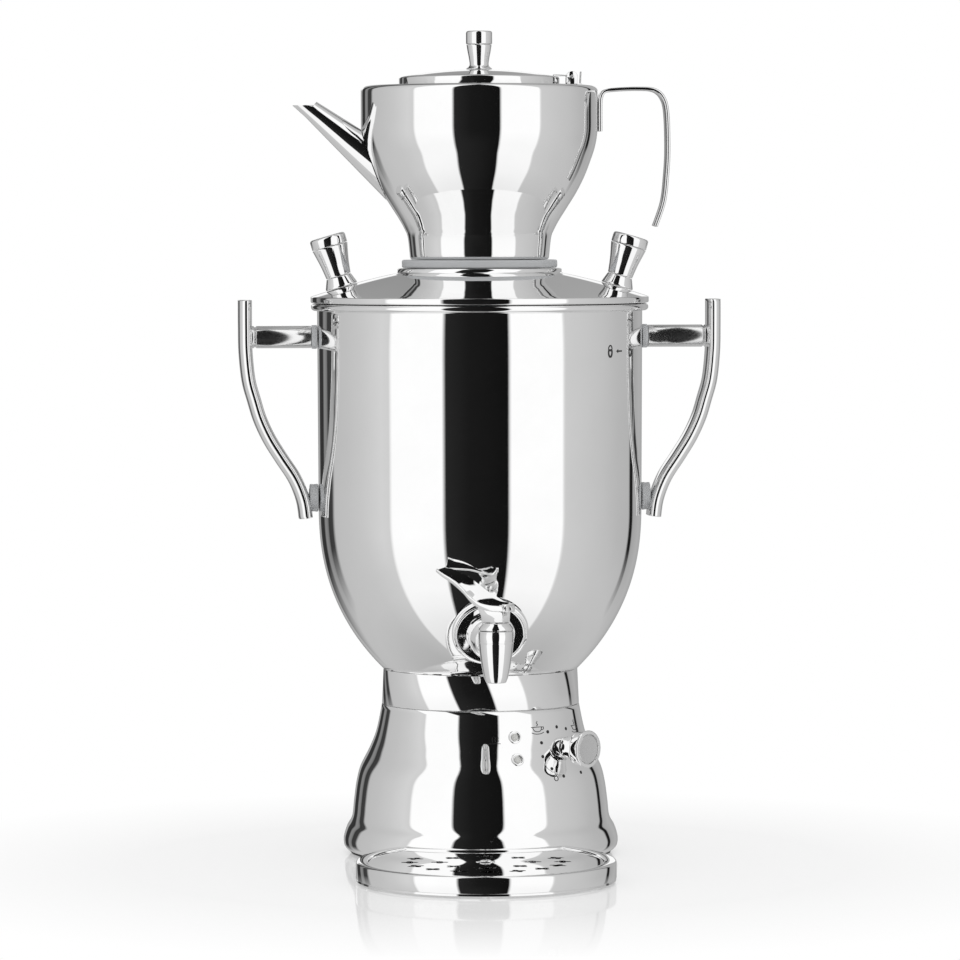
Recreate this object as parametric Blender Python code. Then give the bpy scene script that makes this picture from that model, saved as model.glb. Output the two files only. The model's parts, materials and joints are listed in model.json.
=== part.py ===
"""Electric samovar: a polished steel tank on a bell-shaped heated base, with a tap, a drip tray and a teapot.

Lengths are metres and +Z is up. Every piece is modelled about the tank's upright axis, with the floor at
zero height and the tap facing -Y. The root empty then moves it all along Y, so that the origin of the
part lies on the floor under the middle of its whole footprint. The base and its tray hang on a second
empty, because they stand turned a little about the axis against the tank.
"""

import math

import bmesh
import bpy
from mathutils import Matrix, Vector

# Sheet, clearances and roundness
SHEET = 0.0010
SEAT_GAP = 0.0003
RUN_GAP = 0.0004
OVERRUN = 0.0030
ROUND_STEPS = 28
SMALL_STEPS = 14
PIN_STEPS = 10
SMOOTH_ANGLE = math.radians(35)
WELD = 0.000001

# Base bell, as radius and height shares of its widest radius and its height
BELL_RISE = 0.0024
BELL_HEIGHT = 0.0816
BELL_RADIUS = 0.0769
BELL_SHARES = [
    (0.970, 0.000), (0.992, 0.022), (1.000, 0.054), (0.996, 0.097), (0.974, 0.159), (0.938, 0.225),
    (0.924, 0.335), (0.906, 0.461), (0.876, 0.570), (0.810, 0.694), (0.758, 0.820), (0.718, 1.000),
]
BASE_TURN = math.radians(-2.8)

# Collar between the bell and the tank
COLLAR_HEIGHT = 0.0194
COLLAR_TAPER = 0.0009
COLLAR_SPIGOT_DEPTH = 0.0060

# Bottom plate, feet, and the rod that clamps the base to the tank
PLATE_RISE = 0.0009
PLATE_THICKNESS = 0.0020
PLATE_EDGE_INSET = 0.0014
PLATE_EDGE_THICKNESS = 0.0012
PLATE_HUB_RADIUS = 0.0120
PLATE_HUB_RISE = 0.0050
FOOT_RADIUS = 0.0070
FOOT_CIRCLE_RADIUS = 0.0560
FOOT_COUNT = 4
FOOT_RECESS = 0.0010
FOOT_STEM_RADIUS = 0.0025
FOOT_BARB = 0.0006
FOOT_BARB_HEIGHT = 0.0020
VENT_COUNT = 8
VENT_CIRCLE_RADIUS = 0.0330
VENT_LENGTH = 0.0150
VENT_WIDTH = 0.0030
ROD_RADIUS = 0.0030
ROD_TAIL = 0.0008
NUT_ACROSS_FLATS = 0.0100
NUT_THICKNESS = 0.0040

# Tank: a superellipse bowl under a slightly tapered cylinder, with a rolled rim
TANK_RADIUS = 0.0903
TANK_FLARE = 0.0005
TANK_TOP_RADIUS = TANK_RADIUS + TANK_FLARE
TANK_TOP_Z = 0.3080
TANK_BOTTOM_DROP = 0.0030
TANK_FOOT_ROUND = 0.0012
BOWL_TOP_RISE = 0.0910
BOWL_DEPTH = 0.1220
BOWL_POWER_SHARE = 2.3
BOWL_ROUND_SHARE = 1.4
BOWL_STEPS = 8
RIM_OVERHANG = 0.0034
RIM_RADIUS = TANK_TOP_RADIUS + RIM_OVERHANG
RIM_BEAD_RADIUS = 0.0020
RIM_BEAD_STEPS = 6
CATCH_COUNT = 3
CATCH_DEPTH_BELOW_RIM = 0.0135
CATCH_HEIGHT = 0.0025
CATCH_LAP = 0.0018
CATCH_HALF_ANGLE = math.radians(9)
TAB_HALF_ANGLE = math.radians(8)
LOCK_TURN = math.radians(26)

# Heating plate, element and cut-out under the tank
HEATER_RADIUS = 0.0440
HEATER_THICKNESS = 0.0060
ELEMENT_RING_RADIUS = 0.0340
ELEMENT_TUBE_RADIUS = 0.0033
ELEMENT_OPEN_ANGLE = math.radians(40)
ELEMENT_TAIL = 0.0160
ELEMENT_BEND_SHARE = 1.5
ELEMENT_RING_POINTS = 20
CUTOUT_RADIUS = 0.0080
CUTOUT_HEIGHT = 0.0080
CUTOUT_OFFSET = 0.0190
CUTOUT_STEM_RADIUS = 0.0035
CUTOUT_STEM_HEIGHT = 0.0030

# Side handles, their struts and spacers. A path share of 0 is the bar's foot and 1 its full reach
HANDLE_PROUD = 0.0447
HANDLE_REACH = TANK_RADIUS + HANDLE_PROUD
HANDLE_FOOT_GAP = 0.0034
HANDLE_TOP_Z = 0.3100
HANDLE_DROP = 0.1220
HANDLE_WIDTH = 0.0220
HANDLE_EDGE = 0.0050
HANDLE_CROWN = 0.0028
HANDLE_SHOULDER_SHARE = 0.75
HANDLE_SHARES = [
    (1.000, 0.000), (1.000, 0.120), (0.992, 0.240), (0.943, 0.370), (0.851, 0.465), (0.750, 0.555),
    (0.593, 0.648), (0.391, 0.738), (0.174, 0.830), (0.045, 0.920), (0.000, 1.000),
]
STRUT_DROP = 0.0206
STRUT_RADIUS = 0.0062
STRUT_RING_RADIUS = 0.0066
STRUT_RING_LENGTH = 0.0030
SPACER_DROP = 0.1104
SPACER_RADIUS = 0.0078

# Tap. Its valve stands upright in front of the bowl
TAP_PROUD = 0.0434
TAP_WALL_Z = 0.1300
ESCUTCHEON_RADIUS = 0.0210
ESCUTCHEON_THICKNESS = 0.0034
ESCUTCHEON_DROP = 0.0026
ESCUTCHEON_EDGE = 0.0010
GASKET_RADIUS = 0.0190
GASKET_THICKNESS = 0.0012
TAP_FLANGE_RADIUS = 0.0125
TAP_NECK_RADIUS = 0.0078
TAP_NECK_Z = 0.1270
TAP_STUB_RADIUS = 0.0060
TAP_PASSAGE_RADIUS = 0.0030
TAP_WASHER_RADIUS = 0.0120
TAP_WASHER_THICKNESS = 0.0030
TAP_NUT_ACROSS_FLATS = 0.0190
TAP_NUT_THICKNESS = 0.0045
STUB_PROUD = 0.0015
VALVE_TOP_Z = 0.1339
VALVE_RADIUS = 0.0097
VALVE_SHOULDER_Z = 0.1270
VALVE_SHOULDER_RADIUS = 0.0090
NOZZLE_Z = 0.1058
NOZZLE_RADIUS = 0.0055
NOZZLE_BORE_RADIUS = 0.0040
PLUG_RADIUS = 0.0055
PLUG_Z = 0.1130
PLUG_BORE_RADIUS = 0.0034
STEM_RADIUS = 0.0035
BONNET_RADIUS = 0.0087
BONNET_HEIGHT = 0.0046
LEVER_HUB_HEIGHT = 0.0100
STEM_TOP_SHARE = 0.75
LEVER_PIN_SHARE = 0.4
LEVER_HUB_LOW = 0.0070
LEVER_HUB_HIGH = 0.0086
LEVER_HUB_DEPTH_SHARE = 0.75
LEVER_HUB_LAP = 0.0016
LEVER_TURN = math.radians(136)
LEVER_REACH = 0.0420
LEVER_RISE = 0.0165
LEVER_THICKNESS = 0.0022
LEVER_WIDTH = 0.0085
LEVER_RIM = 0.0012
LEVER_TAIL = 0.0095
LEVER_BLOCK_LENGTH = 0.0040
LEVER_BLOCK_DROP = 0.0040
LEVER_PIN_RADIUS = 0.0010
LEVER_SHARES = [
    (-0.225, 0.000, 0.55, 0.55), (0.000, 0.030, 0.80, 0.80), (0.220, 0.100, 1.00, 1.00), (0.450, 0.340, 1.05, 1.00),
    (0.650, 0.600, 1.00, 0.80), (0.830, 0.850, 0.85, 0.45), (1.000, 1.000, 0.60, -0.45),
]
TAP_NECK_SHARES = [(0.00, 1.00), (0.12, 0.90), (0.30, 0.55), (0.55, 0.15), (1.00, 0.00)]

# Controls on the bell
KNOB_TURN = math.radians(46.5)
KNOB_Z = 0.0632
KNOB_FACE_RADIUS = 0.0104
KNOB_CAP_SHARE = 0.42
KNOB_NECK_RADIUS = 0.0060
KNOB_LENGTH = 0.0155
KNOB_STAND_OFF = 0.0043
KNOB_INSERT_RADIUS = 0.0082
KNOB_INSERT_THICKNESS = 0.0012
SHAFT_RADIUS = 0.0030
BUSH_RADIUS = 0.0045
BUSH_SHORT = 0.0010
THERMOSTAT_SET_BACK = 0.0107
THERMOSTAT_RADIUS = 0.0130
THERMOSTAT_DEPTH = 0.0180
DIAL_NUT_RADIUS = 0.0056
LAMP_TURN = math.radians(17.6)
LAMP_HEIGHTS = (0.0580, 0.0700)
LAMP_RADIUS = 0.0020
BEZEL_RADIUS = 0.0032
BEZEL_PROUD = 0.0008
LAMP_DEPTH = 0.0060
GLAND_Z = 0.0345
GLAND_RADIUS = 0.0085
GLAND_NECK_RADIUS = 0.0060
GLAND_BORE_RADIUS = 0.0035
GLAND_FLANGE = 0.0016

# Lid, seal and the ring that the teapot stands on
LID_OVERHANG = 0.0002
LID_RADIUS = RIM_RADIUS + LID_OVERHANG
LID_EDGE_HEIGHT = 0.0036
LID_RISE = 0.0130
LID_BOSS_RADIUS = 0.0458
LID_BOSS_HEIGHT = 0.0026
LID_CROWN = 0.0008
LID_HEM_WIDTH = 0.0029
LID_EDGE_ROUND = 0.0008
LID_CONE_STEPS = 3
LID_HOLE_RADIUS = 0.0340
LID_SKIRT_INSET = 0.0046
LID_SKIRT_RADIUS = TANK_TOP_RADIUS - LID_SKIRT_INSET
TAB_REACH_GAP = 0.0010
SEAL_THICKNESS = 0.0023
SEAL_LIP_DEPTH = 0.0045
SEAL_LIP_WIDTH = 0.0010
REST_RING_RADIUS = 0.0434
REST_RING_HEIGHT = 0.0044
REST_RING_WALL = 0.0030
REST_RING_ROUND = 0.0010
REST_RING_LIP = 0.0018

# Lid knobs
GRIP_INSET = 0.0174
GRIP_CIRCLE_RADIUS = LID_RADIUS - GRIP_INSET
GRIP_COLLAR_RADIUS = 0.0090
GRIP_COLLAR_HEIGHT = 0.0059
GRIP_WAIST_RADIUS = 0.0070
GRIP_BODY_HEIGHT = 0.0170
GRIP_TOP_RADIUS = 0.0101
GRIP_CAP_HEIGHT = 0.0057
GRIP_ROUND = 0.0014
BELLY_SHARE = 0.45

# Teapot, as radius and height shares of its widest radius and its height
POT_RADIUS = 0.0660
POT_HEIGHT = 0.0964
POT_SHARES = [
    (0.588, 0.012), (0.606, 0.124), (0.632, 0.172), (0.676, 0.228), (0.737, 0.294), (0.817, 0.382),
    (0.886, 0.475), (0.942, 0.574), (0.979, 0.654), (0.998, 0.738), (1.000, 0.965), (0.955, 1.000),
]
POT_FOOT_INSET = 0.0020
POT_FOOT_RISE = 0.0016
POT_NECK_RADIUS = 0.0420
POT_NECK_HEIGHT = 0.0028
POT_LID_RADIUS = 0.0447
POT_LID_EDGE = 0.0046
POT_LID_DOME = 0.0042
POT_LID_STEPS = 3
STRAINER_SIDES = 6
STRAINER_OUTER = 6
POT_KNOB_RADIUS = 0.0073
POT_KNOB_WAIST = 0.0053
POT_KNOB_COLLAR = 0.0028
POT_KNOB_BODY = 0.0107
POT_KNOB_CAP = 0.0074
HINGE_REACH = 0.0517
HINGE_RISE = 0.0052
HINGE_PIN_RADIUS = 0.0011
HINGE_EAR_RADIUS = 0.0030
HINGE_EAR_THICKNESS = 0.0010
HINGE_HALF_WIDTH = 0.0046
HINGE_STOP_REACH = 0.0562
HINGE_STOP_HEIGHT = 0.0078
HINGE_STOP_SHARE = 0.6
HINGE_EAR_STEPS = 8
LEAF_THICKNESS = 0.0009
LEAF_START = 0.0415
SPOUT_TIP_REACH = 0.0970
SPOUT_TIP_RISE = 0.0860
SPOUT_ROOT_REACH = 0.0376
SPOUT_ROOT_RISE = 0.0381
SPOUT_TIP_RADIUS = 0.0048
SPOUT_ROOT_RADIUS = 0.0140
SPOUT_WALL = 0.0010
STRAINER_HOLE_RADIUS = 0.0013
STRAINER_PITCH = 0.0046
POT_HANDLE_THICKNESS = 0.0020
POT_HANDLE_WIDTH = 0.0150
POT_HANDLE_REACH = 0.1054
POT_HANDLE_SHARES = [
    (0.000, 0.738), (0.000, 0.880), (0.012, 0.935), (0.070, 0.968), (0.240, 0.979), (0.560, 0.984),
    (0.800, 0.976), (0.930, 0.930), (0.985, 0.840), (1.000, 0.630), (0.980, 0.480), (0.935, 0.330), (0.815, 0.189),
]

# Drip tray and its grill
TRAY_CENTRE_REACH = 0.1280
TRAY_RADIUS = 0.0700
TRAY_BACK_LENGTH = 0.0830
TRAY_BELL_CLEARANCE = 0.0004
TRAY_HEIGHT = 0.0115
TRAY_RISE = 0.0010
TRAY_RIM_WIDTH = 0.0064
TRAY_RIM_ROUND = 0.0008
TRAY_STEP = 0.0022
TRAY_LEDGE = 0.0030
TRAY_FLOOR_Z = 0.0022
TRAY_FRONT_STEPS = 20
TRAY_BACK_STEPS = 4
TRAY_NOTCH_STEPS = 8
TRAY_NOTCH_HALF_STEP = math.radians(7)
HALVINGS = 50
TRAY_FOOT_RADIUS = 0.0040
TRAY_FOOT_OFFSET = 0.0540
TRAY_FOOT_COUNT = 3
GRILL_THICKNESS = 0.0008
GRILL_DIMPLE_DEPTH = 0.0004
GRILL_DIMPLE_RADIUS = 0.0055
CROSS_SPAN = 0.0088
CROSS_ARM = 0.0026
CROSS_STEP = math.radians(22.5)
OUTER_CROSS_RADIUS = 0.0410
OUTER_CROSS_COUNT = 11
INNER_CROSS_RADIUS = 0.0250
INNER_CROSS_COUNT = 8

STEEL = ("polished_steel", (0.80, 0.80, 0.80), 1.0, 0.08)
SATIN_STEEL = ("satin_steel", (0.66, 0.66, 0.66), 1.0, 0.32)
CAST_METAL = ("cast_aluminium", (0.58, 0.58, 0.57), 1.0, 0.45)
GREY_SILICONE = ("grey_silicone", (0.62, 0.63, 0.63), 0.0, 0.55)
BLACK_PLASTIC = ("black_plastic", (0.03, 0.03, 0.03), 0.0, 0.45)
BLACK_RUBBER = ("black_rubber", (0.04, 0.04, 0.04), 0.0, 0.70)
LAMP_LENS = ("lamp_lens", (0.75, 0.75, 0.72), 0.0, 0.15)


def smoothed(points, per_span):
    """Points on a Catmull-Rom curve through the given points, both ends kept."""
    ends = [points[0]] + list(points) + [points[-1]]
    out = []
    for i in range(1, len(ends) - 2):
        a, b, c, d = (Vector(p) for p in ends[i - 1 : i + 3])
        for step in range(per_span):
            t = step / per_span
            mid = b * 2 + (c - a) * t + (a * 2 - b * 5 + c * 4 - d) * t * t
            out.append((mid + (b * 3 - a - c * 3 + d) * t**3) / 2)
    out.append(Vector(points[-1]))
    return out


def offset(points, distance):
    """A profile moved to its left by a distance, which may be negative."""
    out = []
    last = len(points) - 1
    for i, point in enumerate(points):
        along = Vector(points[min(i + 1, last)]) - Vector(points[max(i - 1, 0)])
        along.normalize()
        out.append((point[0] - along[1] * distance, point[1] + along[0] * distance))
    return out


def arc(centre, radius, start, end, steps):
    """Points on a circle about a centre, from one angle in degrees to another."""
    turns = [math.radians(start + (end - start) * i / steps) for i in range(steps + 1)]
    return [(centre[0] + radius * math.cos(t), centre[1] + radius * math.sin(t)) for t in turns]


def radius_at(points, height):
    """The radius of a profile at a height, between its points."""
    for (r0, z0), (r1, z1) in zip(points, points[1:]):
        if z0 <= height <= z1:
            return r0 + (r1 - r0) * (height - z0) / (z1 - z0)
    return points[-1][0] if height > points[-1][1] else points[0][0]


def slope_at(points, height):
    """The angle between the wall of a profile and the upright, positive where it widens upwards."""
    for (r0, z0), (r1, z1) in zip(points, points[1:]):
        if z0 <= height <= z1:
            return math.atan2(r1 - r0, z1 - z0)
    return 0


def material(spec):
    """A Principled material by name, made on first use."""
    name, colour, metallic, roughness = spec
    found = bpy.data.materials.get(name)
    if found:
        return found
    made = bpy.data.materials.new(name)
    made.use_nodes = True
    made.diffuse_color = (*colour, 1)
    shader = made.node_tree.nodes["Principled BSDF"]
    shader.inputs["Base Color"].default_value = (*colour, 1)
    shader.inputs["Metallic"].default_value = metallic
    shader.inputs["Roughness"].default_value = roughness
    return made


def piece(name, mesh, spec, parent, location=(0, 0, 0), rotation=(0, 0, 0)):
    """Makes the mesh an object under its parent. A piece with no finish is a helper that only cuts or joins."""
    bmesh.ops.remove_doubles(mesh, verts=mesh.verts, dist=WELD)
    bmesh.ops.recalc_face_normals(mesh, faces=mesh.faces)
    if mesh.calc_volume(signed=True) < 0:
        bmesh.ops.reverse_faces(mesh, faces=mesh.faces)
    data = bpy.data.meshes.new(name)
    mesh.to_mesh(data)
    mesh.free()
    data.shade_smooth()
    data.set_sharp_from_angle(angle=SMOOTH_ANGLE)
    made = bpy.data.objects.new(name, data)
    bpy.context.scene.collection.objects.link(made)
    made.parent = parent
    made.location = location
    made.rotation_euler = rotation
    if spec is None:
        made.hide_render = True
        made.display_type = "WIRE"
    else:
        data.materials.append(material(spec))
    return made


def turned(outline, steps=ROUND_STEPS):
    """Turns an outline of (radius, height) about Z. It is closed, or runs from the axis to the axis."""
    mesh = bmesh.new()
    verts = [mesh.verts.new((r, 0, z)) for r, z in outline]
    edges = [mesh.edges.new(pair) for pair in zip(verts, verts[1:])]
    if outline[0][0] > 0 or outline[-1][0] > 0:
        edges.append(mesh.edges.new((verts[-1], verts[0])))
    bmesh.ops.spin(
        mesh, geom=verts + edges, axis=(0, 0, 1), cent=(0, 0, 0), angle=math.tau, steps=steps, use_merge=True
    )
    bmesh.ops.remove_doubles(mesh, verts=mesh.verts, dist=WELD)
    return mesh


def cylinder(radius, low, high, steps=SMALL_STEPS):
    return turned([(0, low), (radius, low), (radius, high), (0, high)], steps)


def tube(outer, inner, low, high, steps=SMALL_STEPS):
    return turned([(outer, low), (outer, high), (inner, high), (inner, low)], steps)


def block(low, high):
    """A box between two corners."""
    mesh = bmesh.new()
    bmesh.ops.create_cube(mesh, size=1)
    size = Vector(high) - Vector(low)
    middle = (Vector(high) + Vector(low)) / 2
    bmesh.ops.scale(mesh, vec=size, verts=mesh.verts)
    bmesh.ops.translate(mesh, vec=middle, verts=mesh.verts)
    return mesh


def prism(outline, low, high):
    """A flat outline raised from one height to another."""
    mesh = bmesh.new()
    face = mesh.faces.new([mesh.verts.new((x, y, low)) for x, y in outline])
    raised = bmesh.ops.extrude_face_region(mesh, geom=[face])["geom"]
    top = [g for g in raised if isinstance(g, bmesh.types.BMVert)]
    bmesh.ops.translate(mesh, vec=(0, 0, high - low), verts=top)
    return mesh


def lofted(sections):
    """A closed body through sections that hold the same number of points."""
    mesh = bmesh.new()
    rings = [[mesh.verts.new(p) for p in section] for section in sections]
    for low, high in zip(rings, rings[1:]):
        for i in range(len(low)):
            j = (i + 1) % len(low)
            mesh.faces.new((low[i], low[j], high[j], high[i]))
    mesh.faces.new(rings[0])
    mesh.faces.new(rings[-1])
    return mesh


def hexagon(across_flats):
    corner = across_flats / math.sqrt(3)
    return [(corner * math.cos(math.pi * i / 3), corner * math.sin(math.pi * i / 3)) for i in range(6)]


def boolean(target, helper, operation="DIFFERENCE"):
    modifier = target.modifiers.new(helper.name, "BOOLEAN")
    modifier.operation = operation
    modifier.object = helper


def empty(name, parent=None, location=(0, 0, 0), rotation=(0, 0, 0)):
    made = bpy.data.objects.new(name, None)
    bpy.context.scene.collection.objects.link(made)
    made.parent = parent
    made.location = location
    made.rotation_euler = rotation
    return made


# Levels, radii and angles that follow from the sizes above
FACET_HALF_ANGLE = math.pi / ROUND_STEPS
BELL_TOP = BELL_RISE + BELL_HEIGHT
BELL_TOP_RADIUS = BELL_SHARES[-1][0] * BELL_RADIUS
COLLAR_BOTTOM = BELL_TOP + SEAT_GAP
COLLAR_TOP = COLLAR_BOTTOM + COLLAR_HEIGHT
COLLAR_TOP_RADIUS = BELL_TOP_RADIUS - COLLAR_TAPER
TANK_SEAT_RADIUS = COLLAR_TOP_RADIUS - SHEET - 2 * SEAT_GAP
TANK_BOTTOM = COLLAR_TOP - TANK_BOTTOM_DROP
BOWL_BASE = COLLAR_TOP + SEAT_GAP
BOWL_TOP = COLLAR_TOP + BOWL_TOP_RISE
TANK_INNER_RADIUS = TANK_TOP_RADIUS - SHEET
CATCH_TOP = TANK_TOP_Z - CATCH_DEPTH_BELOW_RIM
CATCH_LOW = CATCH_TOP - CATCH_HEIGHT
TAB_RADIUS = TANK_INNER_RADIUS - TAB_REACH_GAP
TAB_TOP = CATCH_LOW - RUN_GAP
SKIRT_BOTTOM = TAB_TOP - CATCH_HEIGHT
LID_LOW = TANK_TOP_Z + SEAT_GAP
SEAL_TOP = LID_LOW + SEAL_THICKNESS
LID_UNDER = SEAL_TOP + SEAT_GAP
LID_EDGE_TOP = LID_LOW + LID_EDGE_HEIGHT
LID_CONE_TOP = LID_EDGE_TOP + LID_RISE
LID_BOSS_TOP = LID_CONE_TOP + LID_BOSS_HEIGHT
REST_RING_LOW = LID_BOSS_TOP + SEAT_GAP
REST_RING_TOP = REST_RING_LOW + REST_RING_HEIGHT
POT_BASE = REST_RING_TOP + SEAT_GAP
POT_TOP = POT_BASE + POT_HEIGHT
POT_NECK_TOP = POT_TOP + POT_NECK_HEIGHT
POT_LID_LOW = POT_TOP + SEAT_GAP
POT_LID_EDGE_TOP = POT_LID_LOW + POT_LID_EDGE
HINGE_Z = POT_TOP + HINGE_RISE
PLATE_HUB_LOW = PLATE_RISE + PLATE_HUB_RISE
HEATER_LOW = TANK_BOTTOM - SEAT_GAP - HEATER_THICKNESS
FRONT_REACH = TRAY_CENTRE_REACH * math.cos(BASE_TURN) + TRAY_RADIUS
STAND_SHIFT = (FRONT_REACH - LID_RADIUS) / 2


def bell_profile():
    return [(r * BELL_RADIUS, BELL_RISE + z * BELL_HEIGHT) for r, z in BELL_SHARES]


WALL_AT_KNOB = radius_at(bell_profile(), KNOB_Z)
KNOB_BACK_REACH = WALL_AT_KNOB + KNOB_STAND_OFF
KNOB_FACE_REACH = KNOB_BACK_REACH + KNOB_LENGTH
BUSH_END_REACH = KNOB_BACK_REACH - BUSH_SHORT
THERMOSTAT_REACH = WALL_AT_KNOB - THERMOSTAT_SET_BACK


def bowl_radius(height):
    """The tank's outer radius in the bowl, a superellipse that is widest at the bowl's top."""
    depth_share = (BOWL_TOP - height) / BOWL_DEPTH
    return TANK_RADIUS * (1 - depth_share**BOWL_POWER_SHARE) ** (1 / BOWL_ROUND_SHARE)


def bowl_profile():
    heights = [BOWL_BASE + (BOWL_TOP - BOWL_BASE) * i / BOWL_STEPS for i in range(BOWL_STEPS)]
    return [(bowl_radius(z), z) for z in heights] + [(TANK_RADIUS, BOWL_TOP)]


def tank_wall(distance=0):
    """The tank's outer wall from the collar to the rim, moved outwards by a distance."""
    points = bowl_profile() + [(TANK_TOP_RADIUS, TANK_TOP_Z - 2 * RIM_BEAD_RADIUS)]
    return offset(points, -distance)


TAP_REACH = radius_at(tank_wall(), TAP_WALL_Z) + TAP_PROUD


def tank_lining(distance=0):
    """The tank's inner wall in the bowl and up to its rim, moved inwards by a distance."""
    return offset(bowl_profile(), SHEET + distance)[::2]


def tank_envelope(name, distance, parent):
    """A helper as large as the tank's bowl and wall moved outwards by a distance."""
    wall = tank_wall(distance)
    outline = [(0, wall[0][1])] + wall + [(0, wall[-1][1])]
    return piece(name, turned(outline), None, parent)


def sector(inner, outer, turn, half_angle, low, high):
    """A block between two radii and two heights, on both sides of a direction."""
    start = math.degrees(turn - half_angle)
    end = math.degrees(turn + half_angle)
    outline = arc((0, 0), outer, start, end, 4) + arc((0, 0), inner, end, start, 4)
    return prism(outline, low, high)


def make_base(base):
    """The bell, the collar, the bottom plate with its feet, and the clamping rod with its nut."""
    bell = bell_profile()
    inner = offset(bell, SHEET)
    shell = piece("base_shell", turned(bell + inner[::-1]), STEEL, base)
    for hole in bell_holes(base, bell):
        boolean(shell, hole)

    spigot = inner[-1][0] - SEAT_GAP
    bore = min(spigot, COLLAR_TOP_RADIUS) - SHEET
    collar = [
        (spigot, COLLAR_BOTTOM - COLLAR_SPIGOT_DEPTH),
        (spigot, COLLAR_BOTTOM),
        (BELL_TOP_RADIUS, COLLAR_BOTTOM),
        (COLLAR_TOP_RADIUS, COLLAR_TOP),
        (COLLAR_TOP_RADIUS - SHEET, COLLAR_TOP),
        (bore, COLLAR_BOTTOM),
        (bore, COLLAR_BOTTOM - COLLAR_SPIGOT_DEPTH),
    ]
    piece("base_collar", turned(collar), STEEL, base)
    make_bottom_plate(base, bell, inner)

    rod_low = PLATE_HUB_LOW - SEAT_GAP - NUT_THICKNESS - ROD_TAIL
    rod_high = HEATER_LOW - SEAT_GAP
    piece("tie_rod", cylinder(ROD_RADIUS, rod_low, rod_high, PIN_STEPS), SATIN_STEEL, base)
    nut = piece("tie_nut", prism(hexagon(NUT_ACROSS_FLATS), 0, NUT_THICKNESS), SATIN_STEEL, base)
    nut.location.z = PLATE_HUB_LOW - SEAT_GAP - NUT_THICKNESS
    nut_bore = cylinder(ROD_RADIUS + SEAT_GAP, -OVERRUN, NUT_THICKNESS + OVERRUN, PIN_STEPS)
    boolean(nut, piece("nut_bore", nut_bore, None, nut))


def make_bottom_plate(base, bell, inner):
    """A moulded disc whose thin edge shows under the bell. It stands on rubber feet and has vent slots."""
    edge = bell[0][0] - PLATE_EDGE_INSET
    edge_top = min(PLATE_RISE + PLATE_EDGE_THICKNESS, BELL_RISE - SEAT_GAP)
    inside = inner[0][0] - SHEET - SEAT_GAP
    top = PLATE_RISE + PLATE_THICKNESS
    hub_top = PLATE_HUB_LOW + PLATE_THICKNESS
    rod_hole = ROD_RADIUS + SEAT_GAP
    outline = [
        (rod_hole, PLATE_HUB_LOW),
        (PLATE_HUB_RADIUS, PLATE_HUB_LOW),
        (PLATE_HUB_RADIUS, PLATE_RISE),
        (max(edge, inside + SHEET), PLATE_RISE),
        (max(edge, inside + SHEET), edge_top),
        (inside, edge_top),
        (inside, top),
        (PLATE_HUB_RADIUS + PLATE_THICKNESS, top),
        (PLATE_HUB_RADIUS + PLATE_THICKNESS, hub_top),
        (rod_hole, hub_top),
    ]
    plate = piece("bottom_plate", turned(outline), BLACK_PLASTIC, base)
    slots = bmesh.new()
    for i in range(VENT_COUNT):
        slot = Matrix.Rotation(math.tau * i / VENT_COUNT, 4, "Z") @ Matrix.Translation((VENT_CIRCLE_RADIUS, 0, 0))
        size = Matrix.Diagonal((VENT_LENGTH, VENT_WIDTH, 2 * (top + OVERRUN), 1))
        bmesh.ops.create_cube(slots, size=1, matrix=slot @ size)
    boolean(plate, piece("vent_slots", slots, None, base))

    recess_top = PLATE_RISE + FOOT_RECESS
    barb_low = top + SEAT_GAP
    foot = [
        (0, 0),
        (FOOT_RADIUS, 0),
        (FOOT_RADIUS, recess_top - SEAT_GAP),
        (FOOT_STEM_RADIUS, recess_top - SEAT_GAP),
        (FOOT_STEM_RADIUS, barb_low),
        (FOOT_STEM_RADIUS + FOOT_BARB, barb_low),
        (FOOT_STEM_RADIUS - FOOT_BARB, barb_low + FOOT_BARB_HEIGHT),
        (0, barb_low + FOOT_BARB_HEIGHT),
    ]
    hole_radius = FOOT_STEM_RADIUS + SEAT_GAP
    for i in range(FOOT_COUNT):
        turn = math.tau * (i + 0.5) / FOOT_COUNT
        place = (FOOT_CIRCLE_RADIUS * math.cos(turn), FOOT_CIRCLE_RADIUS * math.sin(turn), 0)
        piece(f"foot_{i + 1}", turned(foot, PIN_STEPS), BLACK_RUBBER, base, place)
        seat = [
            (0, -OVERRUN),
            (FOOT_RADIUS + SEAT_GAP, -OVERRUN),
            (FOOT_RADIUS + SEAT_GAP, recess_top),
            (hole_radius, recess_top),
            (hole_radius, top + OVERRUN),
            (0, top + OVERRUN),
        ]
        boolean(plate, piece(f"foot_{i + 1}_seat", turned(seat, PIN_STEPS), None, base, place))


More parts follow.
